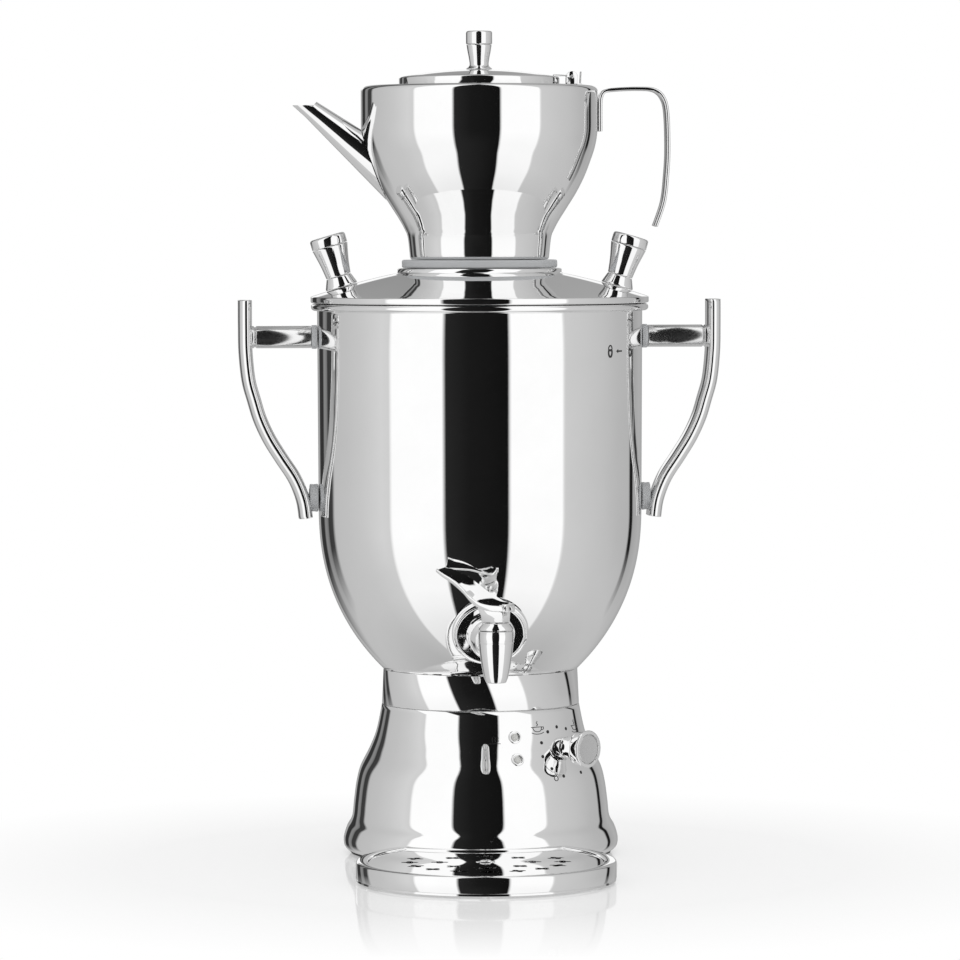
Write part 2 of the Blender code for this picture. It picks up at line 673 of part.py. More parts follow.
def make_tank(root):
    """The drawn tank with its rolled rim and the catches that lock the lid."""
    wall = bowl_profile()
    bead_centre = (RIM_RADIUS - RIM_BEAD_RADIUS, TANK_TOP_Z - RIM_BEAD_RADIUS)
    bead = arc(bead_centre, RIM_BEAD_RADIUS, -130, 90, RIM_BEAD_STEPS)
    foot_inside = TANK_SEAT_RADIUS - SHEET
    outline = [
        (0, TANK_BOTTOM),
        (TANK_SEAT_RADIUS - TANK_FOOT_ROUND, TANK_BOTTOM),
        (TANK_SEAT_RADIUS, TANK_BOTTOM + TANK_FOOT_ROUND),
        (TANK_SEAT_RADIUS, BOWL_BASE),
    ]
    outline += wall + bead + [(TANK_INNER_RADIUS, TANK_TOP_Z)]
    outline += tank_lining()[::-1]
    outline += [
        (foot_inside, BOWL_BASE - SHEET),
        (foot_inside, TANK_BOTTOM + TANK_FOOT_ROUND + SHEET / 2),
        (foot_inside - TANK_FOOT_ROUND / 2, TANK_BOTTOM + SHEET),
        (0, TANK_BOTTOM + SHEET),
    ]
    tank = piece("tank", turned(outline), STEEL, root)
    for i in range(CATCH_COUNT):
        turn = math.tau * i / CATCH_COUNT + math.pi / 2
        catch = sector(
            TAB_RADIUS - CATCH_LAP, TANK_INNER_RADIUS + SHEET / 2, turn, CATCH_HALF_ANGLE, CATCH_LOW, CATCH_TOP
        )
        boolean(tank, piece(f"catch_{i + 1}", catch, None, root), "UNION")
    return tank


def make_heater(root):
    """The plate brazed under the tank, its tubular element with two tails, and the dry-boil cut-out."""
    plate = cylinder(HEATER_RADIUS, HEATER_LOW, HEATER_LOW + HEATER_THICKNESS, ROUND_STEPS)
    piece("heater_plate", plate, CAST_METAL, root)

    ring_z = HEATER_LOW - SEAT_GAP - ELEMENT_TUBE_RADIUS
    start = math.pi / 2 + ELEMENT_OPEN_ANGLE / 2
    sweep = math.tau - ELEMENT_OPEN_ANGLE
    turns = [start + sweep * i / (ELEMENT_RING_POINTS - 1) for i in range(ELEMENT_RING_POINTS)]
    ring = [Vector((ELEMENT_RING_RADIUS * math.cos(t), ELEMENT_RING_RADIUS * math.sin(t), ring_z)) for t in turns]
    bend = ELEMENT_TUBE_RADIUS * ELEMENT_BEND_SHARE
    tails = []
    for end, before in ((ring[0], ring[1]), (ring[-1], ring[-2])):
        out = (end - before).normalized()
        down = Vector((0, 0, -ELEMENT_TAIL))
        tails.append([end + out * bend + Vector((0, 0, -bend)), end + out * bend + down])
    path = tails[0][::-1] + ring + tails[1]
    curve = bpy.data.curves.new("heater_element", "CURVE")
    curve.dimensions = "3D"
    curve.bevel_depth = ELEMENT_TUBE_RADIUS
    curve.bevel_resolution = 1
    curve.use_fill_caps = True
    spline = curve.splines.new("POLY")
    spline.points.add(len(path) - 1)
    for point, place in zip(spline.points, path):
        point.co = (*place, 1)
    element = bpy.data.objects.new("heater_element", curve)
    bpy.context.scene.collection.objects.link(element)
    element.parent = root
    curve.materials.append(material(SATIN_STEEL))

    top = HEATER_LOW - SEAT_GAP
    cutout = [
        (0, top - CUTOUT_HEIGHT - CUTOUT_STEM_HEIGHT),
        (CUTOUT_STEM_RADIUS, top - CUTOUT_HEIGHT - CUTOUT_STEM_HEIGHT),
        (CUTOUT_STEM_RADIUS, top - CUTOUT_HEIGHT),
        (CUTOUT_RADIUS, top - CUTOUT_HEIGHT),
        (CUTOUT_RADIUS, top),
        (0, top),
    ]
    piece("dry_boil_cutout", turned(cutout, SMALL_STEPS), BLACK_PLASTIC, root, (CUTOUT_OFFSET, 0, 0))


def bar_section(point, out, grow):
    """The handle's D section at a point of its outer face: flat outside, crowned towards the tank."""
    half = HANDLE_WIDTH / 2 + grow
    edge = HANDLE_EDGE + grow
    crown = HANDLE_CROWN
    shoulder = crown * HANDLE_SHOULDER_SHARE
    flat = [
        (grow, SHEET - half), (grow, half - SHEET), (grow - SHEET, half), (-edge, half), (-edge - shoulder, half / 2),
        (-edge - crown, 0), (-edge - shoulder, -half / 2), (-edge, -half), (grow - SHEET, -half),
    ]
    return [(point[0] + out[0] * depth, width, point[1] + out[1] * depth) for depth, width in flat]


def handle_path():
    shares = smoothed(HANDLE_SHARES, 2)
    foot = TANK_RADIUS + HANDLE_FOOT_GAP + HANDLE_EDGE + HANDLE_CROWN
    return [(foot + s[0] * (HANDLE_REACH - foot), HANDLE_TOP_Z - s[1] * HANDLE_DROP) for s in shares]


def handle_mesh(side, grow=0):
    path = handle_path()
    sections = []
    for here, moved in zip(path, offset(path, SHEET)):
        out = ((moved[0] - here[0]) / SHEET, (moved[1] - here[1]) / SHEET)
        section = bar_section(here, out, grow)
        sections.append([(side * x, y, z) for x, y, z in section])
    return lofted(sections)


def make_side_handle(root, word, side):
    """One S-shaped bar with the strut, grey ring and grey spacer that hold it off the tank."""
    piece(f"handle_{word}", handle_mesh(side), STEEL, root)
    along = (0, side * math.pi / 2, 0)
    path = handle_path()[::-1]
    wall = tank_wall()
    strut_z = HANDLE_TOP_Z - STRUT_DROP
    ring_start = radius_at(wall, strut_z) + SEAT_GAP
    ring_end = ring_start + STRUT_RING_LENGTH
    strut_end = radius_at([(r, z) for r, z in path], strut_z) - HANDLE_EDGE / 2
    spacer_z = HANDLE_TOP_Z - SPACER_DROP
    spacer_start = radius_at(wall, spacer_z + SPACER_RADIUS) + SEAT_GAP
    spacer_end = radius_at([(r, z) for r, z in path], spacer_z) - (HANDLE_EDGE + HANDLE_CROWN) / 2
    ring = cylinder(STRUT_RING_RADIUS, ring_start, ring_end)
    piece(f"strut_ring_{word}", ring, GREY_SILICONE, root, (0, 0, strut_z), along)
    strut = cylinder(STRUT_RADIUS, ring_end + SEAT_GAP, strut_end)
    strut = piece(f"handle_strut_{word}", strut, STEEL, root, (0, 0, strut_z), along)
    spacer = cylinder(SPACER_RADIUS, spacer_start, spacer_end)
    spacer = piece(f"lower_spacer_{word}", spacer, GREY_SILICONE, root, (0, 0, spacer_z), along)
    clear = piece(f"handle_{word}_clearance", handle_mesh(side, SEAT_GAP), None, root)
    boolean(strut, clear)
    boolean(spacer, clear)


def swept(path, radii, steps=SMALL_STEPS):
    """A round bar through points of a path in the YZ plane, with a radius at each."""
    sections = []
    last = len(path) - 1
    for i, (place, radius) in enumerate(zip(path, radii)):
        along = (path[min(i + 1, last)] - path[max(i - 1, 0)]).normalized()
        across = along.cross(Vector((1, 0, 0)))
        turns = [math.tau * k / steps for k in range(steps)]
        side = Vector((1, 0, 0))
        sections.append([place + side * (radius * math.cos(t)) + across * (radius * math.sin(t)) for t in turns])
    return lofted(sections)


def make_tap(root, tank):
    """The tap: escutcheon and gasket on the bowl, the cast body, plug, bonnet, lever, and the nut inside."""
    wall = tank_wall()
    slope = slope_at(wall, TAP_WALL_Z)
    spot = Vector((0, -radius_at(wall, TAP_WALL_Z), TAP_WALL_Z))
    tilt = (math.pi / 2 + slope, 0, 0)
    normal = Vector((0, -math.cos(slope), -math.sin(slope)))
    deep = -ESCUTCHEON_RADIUS / 2
    hole = TAP_STUB_RADIUS + SEAT_GAP
    stub_hole = cylinder(hole, 2 * deep, ESCUTCHEON_RADIUS)
    stub_hole = piece("stub_hole", stub_hole, None, root, spot, tilt)
    boolean(tank, stub_hole)

    gasket_top = SEAT_GAP + GASKET_THICKNESS
    gasket = cylinder(GASKET_RADIUS, deep, ESCUTCHEON_RADIUS, ROUND_STEPS)
    gasket = piece("tap_gasket", gasket, GREY_SILICONE, root, spot, tilt)
    boolean(gasket, tank_envelope("gasket_outside", gasket_top, root), "INTERSECT")
    boolean(gasket, tank_envelope("gasket_inside", SEAT_GAP, root))
    boolean(gasket, stub_hole)

    rim = ESCUTCHEON_THICKNESS - ESCUTCHEON_DROP
    flat_radius = TAP_FLANGE_RADIUS + ESCUTCHEON_EDGE
    outline = [
        (0, deep),
        (ESCUTCHEON_RADIUS, deep),
        (ESCUTCHEON_RADIUS, rim - ESCUTCHEON_EDGE),
        (ESCUTCHEON_RADIUS - ESCUTCHEON_EDGE, rim),
        (flat_radius, ESCUTCHEON_THICKNESS),
        (0, ESCUTCHEON_THICKNESS),
    ]
    escutcheon = piece("tap_escutcheon", turned(outline), STEEL, root, spot, tilt)
    boolean(escutcheon, tank_envelope("escutcheon_inside", gasket_top + SEAT_GAP, root))
    boolean(escutcheon, stub_hole)

    washer = cylinder(TAP_WASHER_RADIUS, deep, ESCUTCHEON_RADIUS)
    washer = piece("tap_washer", washer, GREY_SILICONE, root, spot, tilt)
    inner_wall = tank_lining(SEAT_GAP)
    inside = [(0, inner_wall[0][1])] + inner_wall + [(0, inner_wall[-1][1])]
    boolean(washer, piece("washer_outside", turned(inside), None, root), "INTERSECT")
    sag = TAP_WASHER_RADIUS * math.tan(FACET_HALF_ANGLE)
    washer_inner = -SHEET - SEAT_GAP - sag - TAP_WASHER_THICKNESS
    trim = cylinder(2 * TAP_WASHER_RADIUS, 2 * deep - TAP_WASHER_RADIUS, washer_inner)
    boolean(washer, piece("washer_inside", trim, None, root, spot, tilt))
    boolean(washer, stub_hole)
    nut_high = washer_inner - SEAT_GAP
    nut_low = nut_high - TAP_NUT_THICKNESS
    nut_mesh = prism(hexagon(TAP_NUT_ACROSS_FLATS), nut_low, nut_high)
    nut = piece("tap_nut", nut_mesh, SATIN_STEEL, root, spot, tilt)
    boolean(nut, stub_hole)

    flange_z = ESCUTCHEON_THICKNESS + SEAT_GAP
    flange = spot + normal * flange_z
    valve = Vector((0, -TAP_REACH, TAP_NECK_Z))
    control = flange + normal * (TAP_REACH + flange.y) / 3
    body = cast_tap_body(root, flange, control, valve)
    behind = cylinder(ESCUTCHEON_RADIUS, 2 * deep, flange_z)
    boolean(body, piece("behind_flange", behind, None, root, spot, tilt))
    stub_end = nut_low - STUB_PROUD
    stub = cylinder(TAP_STUB_RADIUS, stub_end, flange_z + SHEET)
    boolean(body, piece("stub", stub, None, root, spot, tilt), "UNION")
    path = [spot + normal * (stub_end - OVERRUN)] + bezier(flange, control, valve)
    passage = swept(path, [TAP_PASSAGE_RADIUS] * len(path), PIN_STEPS)
    boolean(body, piece("passage", passage, None, root))
    bore = [
        (0, NOZZLE_Z - OVERRUN),
        (NOZZLE_BORE_RADIUS, NOZZLE_Z - OVERRUN),
        (NOZZLE_BORE_RADIUS, PLUG_Z - RUN_GAP),
        (PLUG_RADIUS + RUN_GAP, PLUG_Z - RUN_GAP),
        (PLUG_RADIUS + RUN_GAP, VALVE_TOP_Z + OVERRUN),
        (0, VALVE_TOP_Z + OVERRUN),
    ]
    boolean(body, piece("valve_bore", turned(bore, SMALL_STEPS), None, root, (0, -TAP_REACH, 0)))
    make_valve(root)


def bezier(start, control, end, steps=6):
    """Points on the curve that leaves the start towards the control point and ends level at the end."""
    level = Vector((0, control.y, end.z))
    out = []
    for i in range(steps + 1):
        t = i / steps
        low = start.lerp(control, t).lerp(control.lerp(level, t), t)
        high = control.lerp(level, t).lerp(level.lerp(end, t), t)
        out.append(low.lerp(high, t))
    return out


def cast_tap_body(root, flange, control, valve):
    """The upright valve housing with its nozzle, joined to the arm that flares to the flange."""
    outline = [
        (0, NOZZLE_Z),
        (NOZZLE_RADIUS, NOZZLE_Z),
        (VALVE_SHOULDER_RADIUS, VALVE_SHOULDER_Z),
        (VALVE_RADIUS, VALVE_SHOULDER_Z + SHEET),
        (VALVE_RADIUS, VALVE_TOP_Z - SHEET / 2),
        (VALVE_RADIUS - SHEET / 2, VALVE_TOP_Z),
        (0, VALVE_TOP_Z),
    ]
    body = piece("tap_body", turned(outline, SMALL_STEPS), STEEL, root, (0, -TAP_REACH, 0))
    path = bezier(flange, control, valve, 8)
    path[0] = flange - (control - flange).normalized() * SHEET
    path[-1] = valve + Vector((0, SHEET, 0))
    flare = TAP_FLANGE_RADIUS - TAP_NECK_RADIUS
    radii = []
    for i in range(len(path)):
        share = radius_at([(r, t) for t, r in TAP_NECK_SHARES], i / (len(path) - 1))
        radii.append(TAP_NECK_RADIUS + flare * share)
    boolean(body, piece("tap_arm", swept(path, radii), None, root), "UNION")
    clear = cylinder(BONNET_RADIUS + RUN_GAP, VALVE_TOP_Z + SEAT_GAP / 2, VALVE_TOP_Z + BONNET_RADIUS)
    boolean(body, piece("bonnet_clearance", clear, None, root, (0, -TAP_REACH, 0)))
    return body


def make_valve(root):
    """The bonnet ring, and what turns about the valve axis: the hollow plug, the lever and its cross pin."""
    bonnet_low = VALVE_TOP_Z + SEAT_GAP
    bonnet_top = bonnet_low + BONNET_HEIGHT
    hub_low = bonnet_top + RUN_GAP
    hub_top = hub_low + LEVER_HUB_HEIGHT
    stem_top = hub_low + LEVER_HUB_HEIGHT * STEM_TOP_SHARE
    pin_z = hub_low + LEVER_HUB_HEIGHT * LEVER_PIN_SHARE
    axis = (0, -TAP_REACH, 0)
    bonnet = tube(BONNET_RADIUS, STEM_RADIUS + RUN_GAP, bonnet_low, bonnet_top)
    piece("tap_bonnet", bonnet, STEEL, root, axis)

    turning = empty("tap_valve_axis", root, axis)
    bore_top = TAP_NECK_Z + TAP_PASSAGE_RADIUS + SHEET
    outline = [
        (0, bore_top),
        (PLUG_BORE_RADIUS, bore_top),
        (PLUG_BORE_RADIUS, PLUG_Z),
        (PLUG_RADIUS, PLUG_Z),
        (PLUG_RADIUS, VALVE_TOP_Z - RUN_GAP),
        (STEM_RADIUS, VALVE_TOP_Z - RUN_GAP),
        (STEM_RADIUS, stem_top),
        (0, stem_top),
    ]
    plug = piece("tap_plug", turned(outline, SMALL_STEPS), SATIN_STEEL, turning)
    port = cylinder(TAP_PASSAGE_RADIUS, 0, PLUG_RADIUS + OVERRUN, PIN_STEPS)
    port = piece("plug_port", port, None, turning, (0, 0, TAP_NECK_Z), (0, math.pi / 2, 0))
    boolean(plug, port)

    lever_frame = empty("tap_lever_frame", turning, rotation=(0, 0, LEVER_TURN))
    sections = []
    for out, rise, front, back in LEVER_SHARES:
        x, z = out * LEVER_REACH, hub_top + rise * LEVER_RISE
        y, b = front * LEVER_WIDTH, -back * LEVER_WIDTH
        top = z + LEVER_THICKNESS
        sections.append([
            (x, b, z), (x, y, z), (x, y, top + LEVER_RIM), (x, y - LEVER_RIM, top + LEVER_RIM),
            (x, y - 2 * LEVER_RIM, top), (x, b, top),
        ])
    lever = piece("tap_lever", lofted(sections), STEEL, lever_frame)
    hub = []
    for half, z in ((LEVER_HUB_LOW, hub_low), (LEVER_HUB_HIGH, hub_top + LEVER_HUB_LAP)):
        deep = half * LEVER_HUB_DEPTH_SHARE
        hub.append([(-half, -deep, z), (half, -deep, z), (half, deep, z), (-half, deep, z)])
    boolean(lever, piece("lever_hub", lofted(hub), None, lever_frame), "UNION")
    deep = LEVER_HUB_HIGH * LEVER_HUB_DEPTH_SHARE / 2
    end = block(
        (-LEVER_TAIL, -deep, hub_top - LEVER_BLOCK_DROP),
        (LEVER_BLOCK_LENGTH - LEVER_TAIL, deep, hub_top + LEVER_THICKNESS + LEVER_RIM),
    )
    boolean(lever, piece("lever_block", end, None, lever_frame), "UNION")
    stem_bore = cylinder(STEM_RADIUS + SEAT_GAP, hub_low - OVERRUN, stem_top + SEAT_GAP)
    boolean(lever, piece("stem_bore", stem_bore, None, lever_frame))
    pin_place = ((0, 0, pin_z), (0, math.pi / 2, 0))
    pin_bore = cylinder(LEVER_PIN_RADIUS + SEAT_GAP, -LEVER_TAIL - OVERRUN, LEVER_TAIL + OVERRUN, PIN_STEPS)
    pin_bore = piece("pin_bore", pin_bore, None, lever_frame, *pin_place)
    boolean(lever, pin_bore)
    boolean(plug, pin_bore)
    pin = cylinder(LEVER_PIN_RADIUS, -LEVER_HUB_LOW, LEVER_HUB_LOW, PIN_STEPS)
    piece("tap_lever_pin", pin, SATIN_STEEL, lever_frame, *pin_place)


def bell_spot(bell, turn, height):
    """Where a piece stands on the bell, and the rotation that points its local Z straight out of the wall."""
    radius = radius_at(bell, height)
    place = (radius * math.sin(turn), -radius * math.cos(turn), height)
    return place, (math.pi / 2 + slope_at(bell, height), 0, turn)


def bell_holes(base, bell):
    """Helpers that open the bell for the thermostat, the lamps and the cord gland."""
    axis = ((0, 0, KNOB_Z), (math.pi / 2, 0, KNOB_TURN))
    bush = cylinder(BUSH_RADIUS + SEAT_GAP, THERMOSTAT_REACH, BELL_RADIUS)
    holes = [piece("bush_hole", bush, None, base, *axis)]
    for i, height in enumerate(LAMP_HEIGHTS):
        place, tilt = bell_spot(bell, LAMP_TURN, height)
        hole = cylinder(LAMP_RADIUS + SHEET + SEAT_GAP, -OVERRUN, OVERRUN, PIN_STEPS)
        holes.append(piece(f"lamp_{i + 1}_hole", hole, None, base, place, tilt))
    place, tilt = bell_spot(bell, math.pi, GLAND_Z)
    gland = cylinder(GLAND_NECK_RADIUS + SEAT_GAP, -2 * OVERRUN, 2 * OVERRUN)
    holes.append(piece("gland_hole", gland, None, base, place, tilt))
    return holes


def make_controls(base):
    """The thermostat with its wedge nut, the knob on its shaft, the two lamps and the cord gland."""
    bell = bell_profile()
    frame = empty("control_axis", base, (0, 0, KNOB_Z), (math.pi / 2, 0, KNOB_TURN))
    shaft_end = KNOB_BACK_REACH + KNOB_LENGTH / 2
    outline = [
        (0, THERMOSTAT_REACH - THERMOSTAT_DEPTH),
        (THERMOSTAT_RADIUS, THERMOSTAT_REACH - THERMOSTAT_DEPTH),
        (THERMOSTAT_RADIUS, THERMOSTAT_REACH),
        (BUSH_RADIUS, THERMOSTAT_REACH),
        (BUSH_RADIUS, BUSH_END_REACH),
        (SHAFT_RADIUS, BUSH_END_REACH),
        (SHAFT_RADIUS, shaft_end),
        (0, shaft_end),
    ]
    piece("thermostat", turned(outline, SMALL_STEPS), SATIN_STEEL, frame)
    nut = tube(DIAL_NUT_RADIUS, BUSH_RADIUS + SEAT_GAP, THERMOSTAT_REACH, BUSH_END_REACH)
    nut = piece("dial_nut", nut, STEEL, frame)
    wall = offset(bell, -SEAT_GAP)
    solid = [(0, wall[0][1])] + wall + [(0, wall[-1][1])]
    boolean(nut, piece("bell_envelope", turned(solid), None, base))

    seam = KNOB_FACE_REACH - KNOB_LENGTH * KNOB_CAP_SHARE
    seam_radius = KNOB_FACE_RADIUS - KNOB_INSERT_THICKNESS / 2
    middle_radius = (KNOB_NECK_RADIUS + seam_radius) / 2
    bore_end = shaft_end + SEAT_GAP
    outline = [
        (0, bore_end),
        (SHAFT_RADIUS + SEAT_GAP, bore_end),
        (SHAFT_RADIUS + SEAT_GAP, KNOB_BACK_REACH),
        (KNOB_NECK_RADIUS, KNOB_BACK_REACH),
        (middle_radius, (KNOB_BACK_REACH + seam) / 2 - SHEET / 2),
        (seam_radius, seam - SHEET / 2),
        (seam_radius - SHEET / 2, seam),
        (seam_radius, seam + SHEET / 2),
        (KNOB_FACE_RADIUS, KNOB_FACE_REACH - SHEET),
        (KNOB_FACE_RADIUS - SHEET / 2, KNOB_FACE_REACH),
        (KNOB_INSERT_RADIUS, KNOB_FACE_REACH),
        (KNOB_INSERT_RADIUS, KNOB_FACE_REACH - KNOB_INSERT_THICKNESS),
        (0, KNOB_FACE_REACH - KNOB_INSERT_THICKNESS),
    ]
    piece("control_knob", turned(outline, SMALL_STEPS), STEEL, frame)
    insert_low = KNOB_FACE_REACH - KNOB_INSERT_THICKNESS + SEAT_GAP
    insert = cylinder(KNOB_INSERT_RADIUS - SEAT_GAP, insert_low, KNOB_FACE_REACH - SEAT_GAP)
    piece("control_knob_insert", insert, SATIN_STEEL, frame)

    hole = LAMP_RADIUS + SEAT_GAP
    neck = LAMP_RADIUS + SHEET
    behind = -SHEET - BEZEL_PROUD
    bezel = [
        (hole, behind), (neck, behind), (neck, SEAT_GAP), (BEZEL_RADIUS + SHEET / 2, SEAT_GAP),
        (BEZEL_RADIUS, BEZEL_PROUD), (hole, BEZEL_PROUD),
    ]
    lens = [(0, -LAMP_DEPTH), (LAMP_RADIUS, -LAMP_DEPTH), (LAMP_RADIUS, BEZEL_PROUD / 2), (0, BEZEL_PROUD)]
    for word, height in zip(("lower", "upper"), LAMP_HEIGHTS):
        place, tilt = bell_spot(bell, LAMP_TURN, height)
        piece(f"lamp_bezel_{word}", turned(bezel, PIN_STEPS), STEEL, base, place, tilt)
        piece(f"lamp_lens_{word}", turned(lens, PIN_STEPS), LAMP_LENS, base, place, tilt)

    place, tilt = bell_spot(bell, math.pi, GLAND_Z)
    sag = GLAND_RADIUS * math.tan(FACET_HALF_ANGLE)
    inside = -SHEET - SEAT_GAP - sag
    gland = [
        (GLAND_BORE_RADIUS, inside - GLAND_FLANGE), (GLAND_RADIUS, inside - GLAND_FLANGE), (GLAND_RADIUS, inside),
        (GLAND_NECK_RADIUS, inside), (GLAND_NECK_RADIUS, SEAT_GAP), (GLAND_RADIUS, SEAT_GAP),
        (GLAND_RADIUS - SHEET, SEAT_GAP + GLAND_FLANGE), (GLAND_BORE_RADIUS, SEAT_GAP + GLAND_FLANGE),
    ]
    piece("cord_gland", turned(gland, SMALL_STEPS), BLACK_RUBBER, base, place, tilt)


def lid_height(radius):
    """The height of the lid's sloping top, slightly crowned between its edge and its boss."""
    outer = LID_RADIUS - LID_EDGE_ROUND
    share = (outer - radius) / (outer - LID_BOSS_RADIUS)
    return LID_EDGE_TOP + share * LID_RISE + 4 * LID_CROWN * share * (1 - share)


def make_lid(root):
    """The lid with its skirt and locking tabs, the seal under its rim, and the ring that carries the teapot."""
    hem = LID_RADIUS - LID_HEM_WIDTH
    outer = LID_RADIUS - LID_EDGE_ROUND
    radii = [outer + (LID_BOSS_RADIUS - outer) * i / LID_CONE_STEPS for i in range(LID_CONE_STEPS + 1)]
    skirt_inside = LID_SKIRT_RADIUS - SHEET
    boss_inside = LID_BOSS_RADIUS - SHEET
    under = [r for r in radii if boss_inside < r < skirt_inside]
    outline = [(hem, LID_LOW), (outer, LID_LOW), (LID_RADIUS, LID_LOW + LID_EDGE_ROUND)]
    outline += [(LID_RADIUS, LID_EDGE_TOP - LID_EDGE_ROUND)] + [(r, lid_height(r)) for r in radii]
    outline += [
        (LID_BOSS_RADIUS, LID_BOSS_TOP - SHEET / 2),
        (LID_BOSS_RADIUS - SHEET / 2, LID_BOSS_TOP),
        (LID_HOLE_RADIUS, LID_BOSS_TOP),
        (LID_HOLE_RADIUS, LID_BOSS_TOP - SHEET),
        (boss_inside, LID_BOSS_TOP - SHEET),
        (boss_inside, lid_height(LID_BOSS_RADIUS) - SHEET),
    ]
    outline += [(r, lid_height(r) - SHEET) for r in under[::-1] if r > LID_BOSS_RADIUS]
    outline += [
        (skirt_inside, lid_height(skirt_inside) - SHEET),
        (skirt_inside, SKIRT_BOTTOM),
        (LID_SKIRT_RADIUS, SKIRT_BOTTOM),
        (LID_SKIRT_RADIUS, LID_UNDER),
        (hem, LID_UNDER),
    ]
    lid = piece("lid", turned(outline), STEEL, root)
    for i in range(CATCH_COUNT):
        turn = math.tau * i / CATCH_COUNT + math.pi / 2 - LOCK_TURN
        tab = sector(skirt_inside + SHEET / 2, TAB_RADIUS, turn, TAB_HALF_ANGLE, SKIRT_BOTTOM, TAB_TOP)
        boolean(lid, piece(f"lid_tab_{i + 1}", tab, None, root), "UNION")

    inner = LID_SKIRT_RADIUS + 2 * SEAT_GAP
    outer = hem - 2 * SEAT_GAP
    lip = TANK_INNER_RADIUS - RUN_GAP
    seal = [
        (inner, LID_LOW), (lip - SEAL_LIP_WIDTH, LID_LOW), (lip - SEAL_LIP_WIDTH, LID_LOW - SEAL_LIP_DEPTH),
        (lip, LID_LOW - SEAL_LIP_DEPTH), (lip, LID_LOW), (outer, LID_LOW), (outer, SEAL_TOP), (inner, SEAL_TOP),
    ]
    piece("lid_seal", turned(seal), GREY_SILICONE, root)

    neck = LID_HOLE_RADIUS - SEAT_GAP
    round_off = REST_RING_ROUND
    ring = [
        (neck - REST_RING_WALL, LID_BOSS_TOP - SHEET - REST_RING_LIP), (neck, LID_BOSS_TOP - SHEET - REST_RING_LIP),
        (neck, REST_RING_LOW), (REST_RING_RADIUS - round_off, REST_RING_LOW),
        (REST_RING_RADIUS, REST_RING_LOW + round_off), (REST_RING_RADIUS, REST_RING_TOP - round_off),
        (REST_RING_RADIUS - round_off, REST_RING_TOP), (neck - REST_RING_WALL + round_off, REST_RING_TOP),
        (neck - REST_RING_WALL, REST_RING_TOP - round_off),
    ]
    piece("rest_ring", turned(ring), GREY_SILICONE, root)
    for word, side in (("left", -1), ("right", 1)):
        make_grip(root, word, side)


def make_grip(root, word, side):
    """A lid knob in three turned pieces, square to the lid's slope: collar, tapered body and cap."""
    slope = math.atan2(lid_height(GRIP_CIRCLE_RADIUS - SHEET) - lid_height(GRIP_CIRCLE_RADIUS), SHEET)
    place = (side * GRIP_CIRCLE_RADIUS, 0, lid_height(GRIP_CIRCLE_RADIUS))
    tilt = (0, side * slope, 0)
    collar_low = SEAT_GAP
    collar_top = collar_low + GRIP_COLLAR_HEIGHT
    body_low = collar_top + SEAT_GAP
    body_top = body_low + GRIP_BODY_HEIGHT
    cap_low = body_top + SEAT_GAP
    cap_top = cap_low + GRIP_CAP_HEIGHT
    belly = (GRIP_WAIST_RADIUS + GRIP_TOP_RADIUS) / 2
    collar = [
        (0, collar_low), (GRIP_COLLAR_RADIUS, collar_low), (GRIP_COLLAR_RADIUS, collar_low + GRIP_ROUND / 2),
        ((GRIP_COLLAR_RADIUS + GRIP_WAIST_RADIUS) / 2, (collar_low + collar_top) / 2),
        (GRIP_WAIST_RADIUS, collar_top), (0, collar_top),
    ]
    body = [
        (0, body_low), (GRIP_WAIST_RADIUS, body_low), (belly, body_low + GRIP_BODY_HEIGHT * BELLY_SHARE),
        (GRIP_TOP_RADIUS, body_top), (0, body_top),
    ]
    cap = [
        (0, cap_low), (GRIP_TOP_RADIUS, cap_low), (GRIP_TOP_RADIUS, cap_top - GRIP_ROUND),
        (GRIP_TOP_RADIUS - GRIP_ROUND / 2, cap_top - GRIP_ROUND / 4), (GRIP_TOP_RADIUS - GRIP_ROUND, cap_top), (0, cap_top),
    ]
    for name, outline in (("collar", collar), ("body", body), ("cap", cap)):
        piece(f"lid_knob_{name}_{word}", turned(outline, SMALL_STEPS), STEEL, root, place, tilt)


def pot_profile():
    return [(r * POT_RADIUS, z * POT_HEIGHT) for r, z in POT_SHARES]


def pot_lid_height(radius):
    """The height of the teapot lid's dome above the teapot's foot."""
    share = radius / (POT_LID_RADIUS - SHEET / 2)
    return POT_LID_EDGE_TOP - POT_BASE + POT_LID_DOME * (1 - share * share)


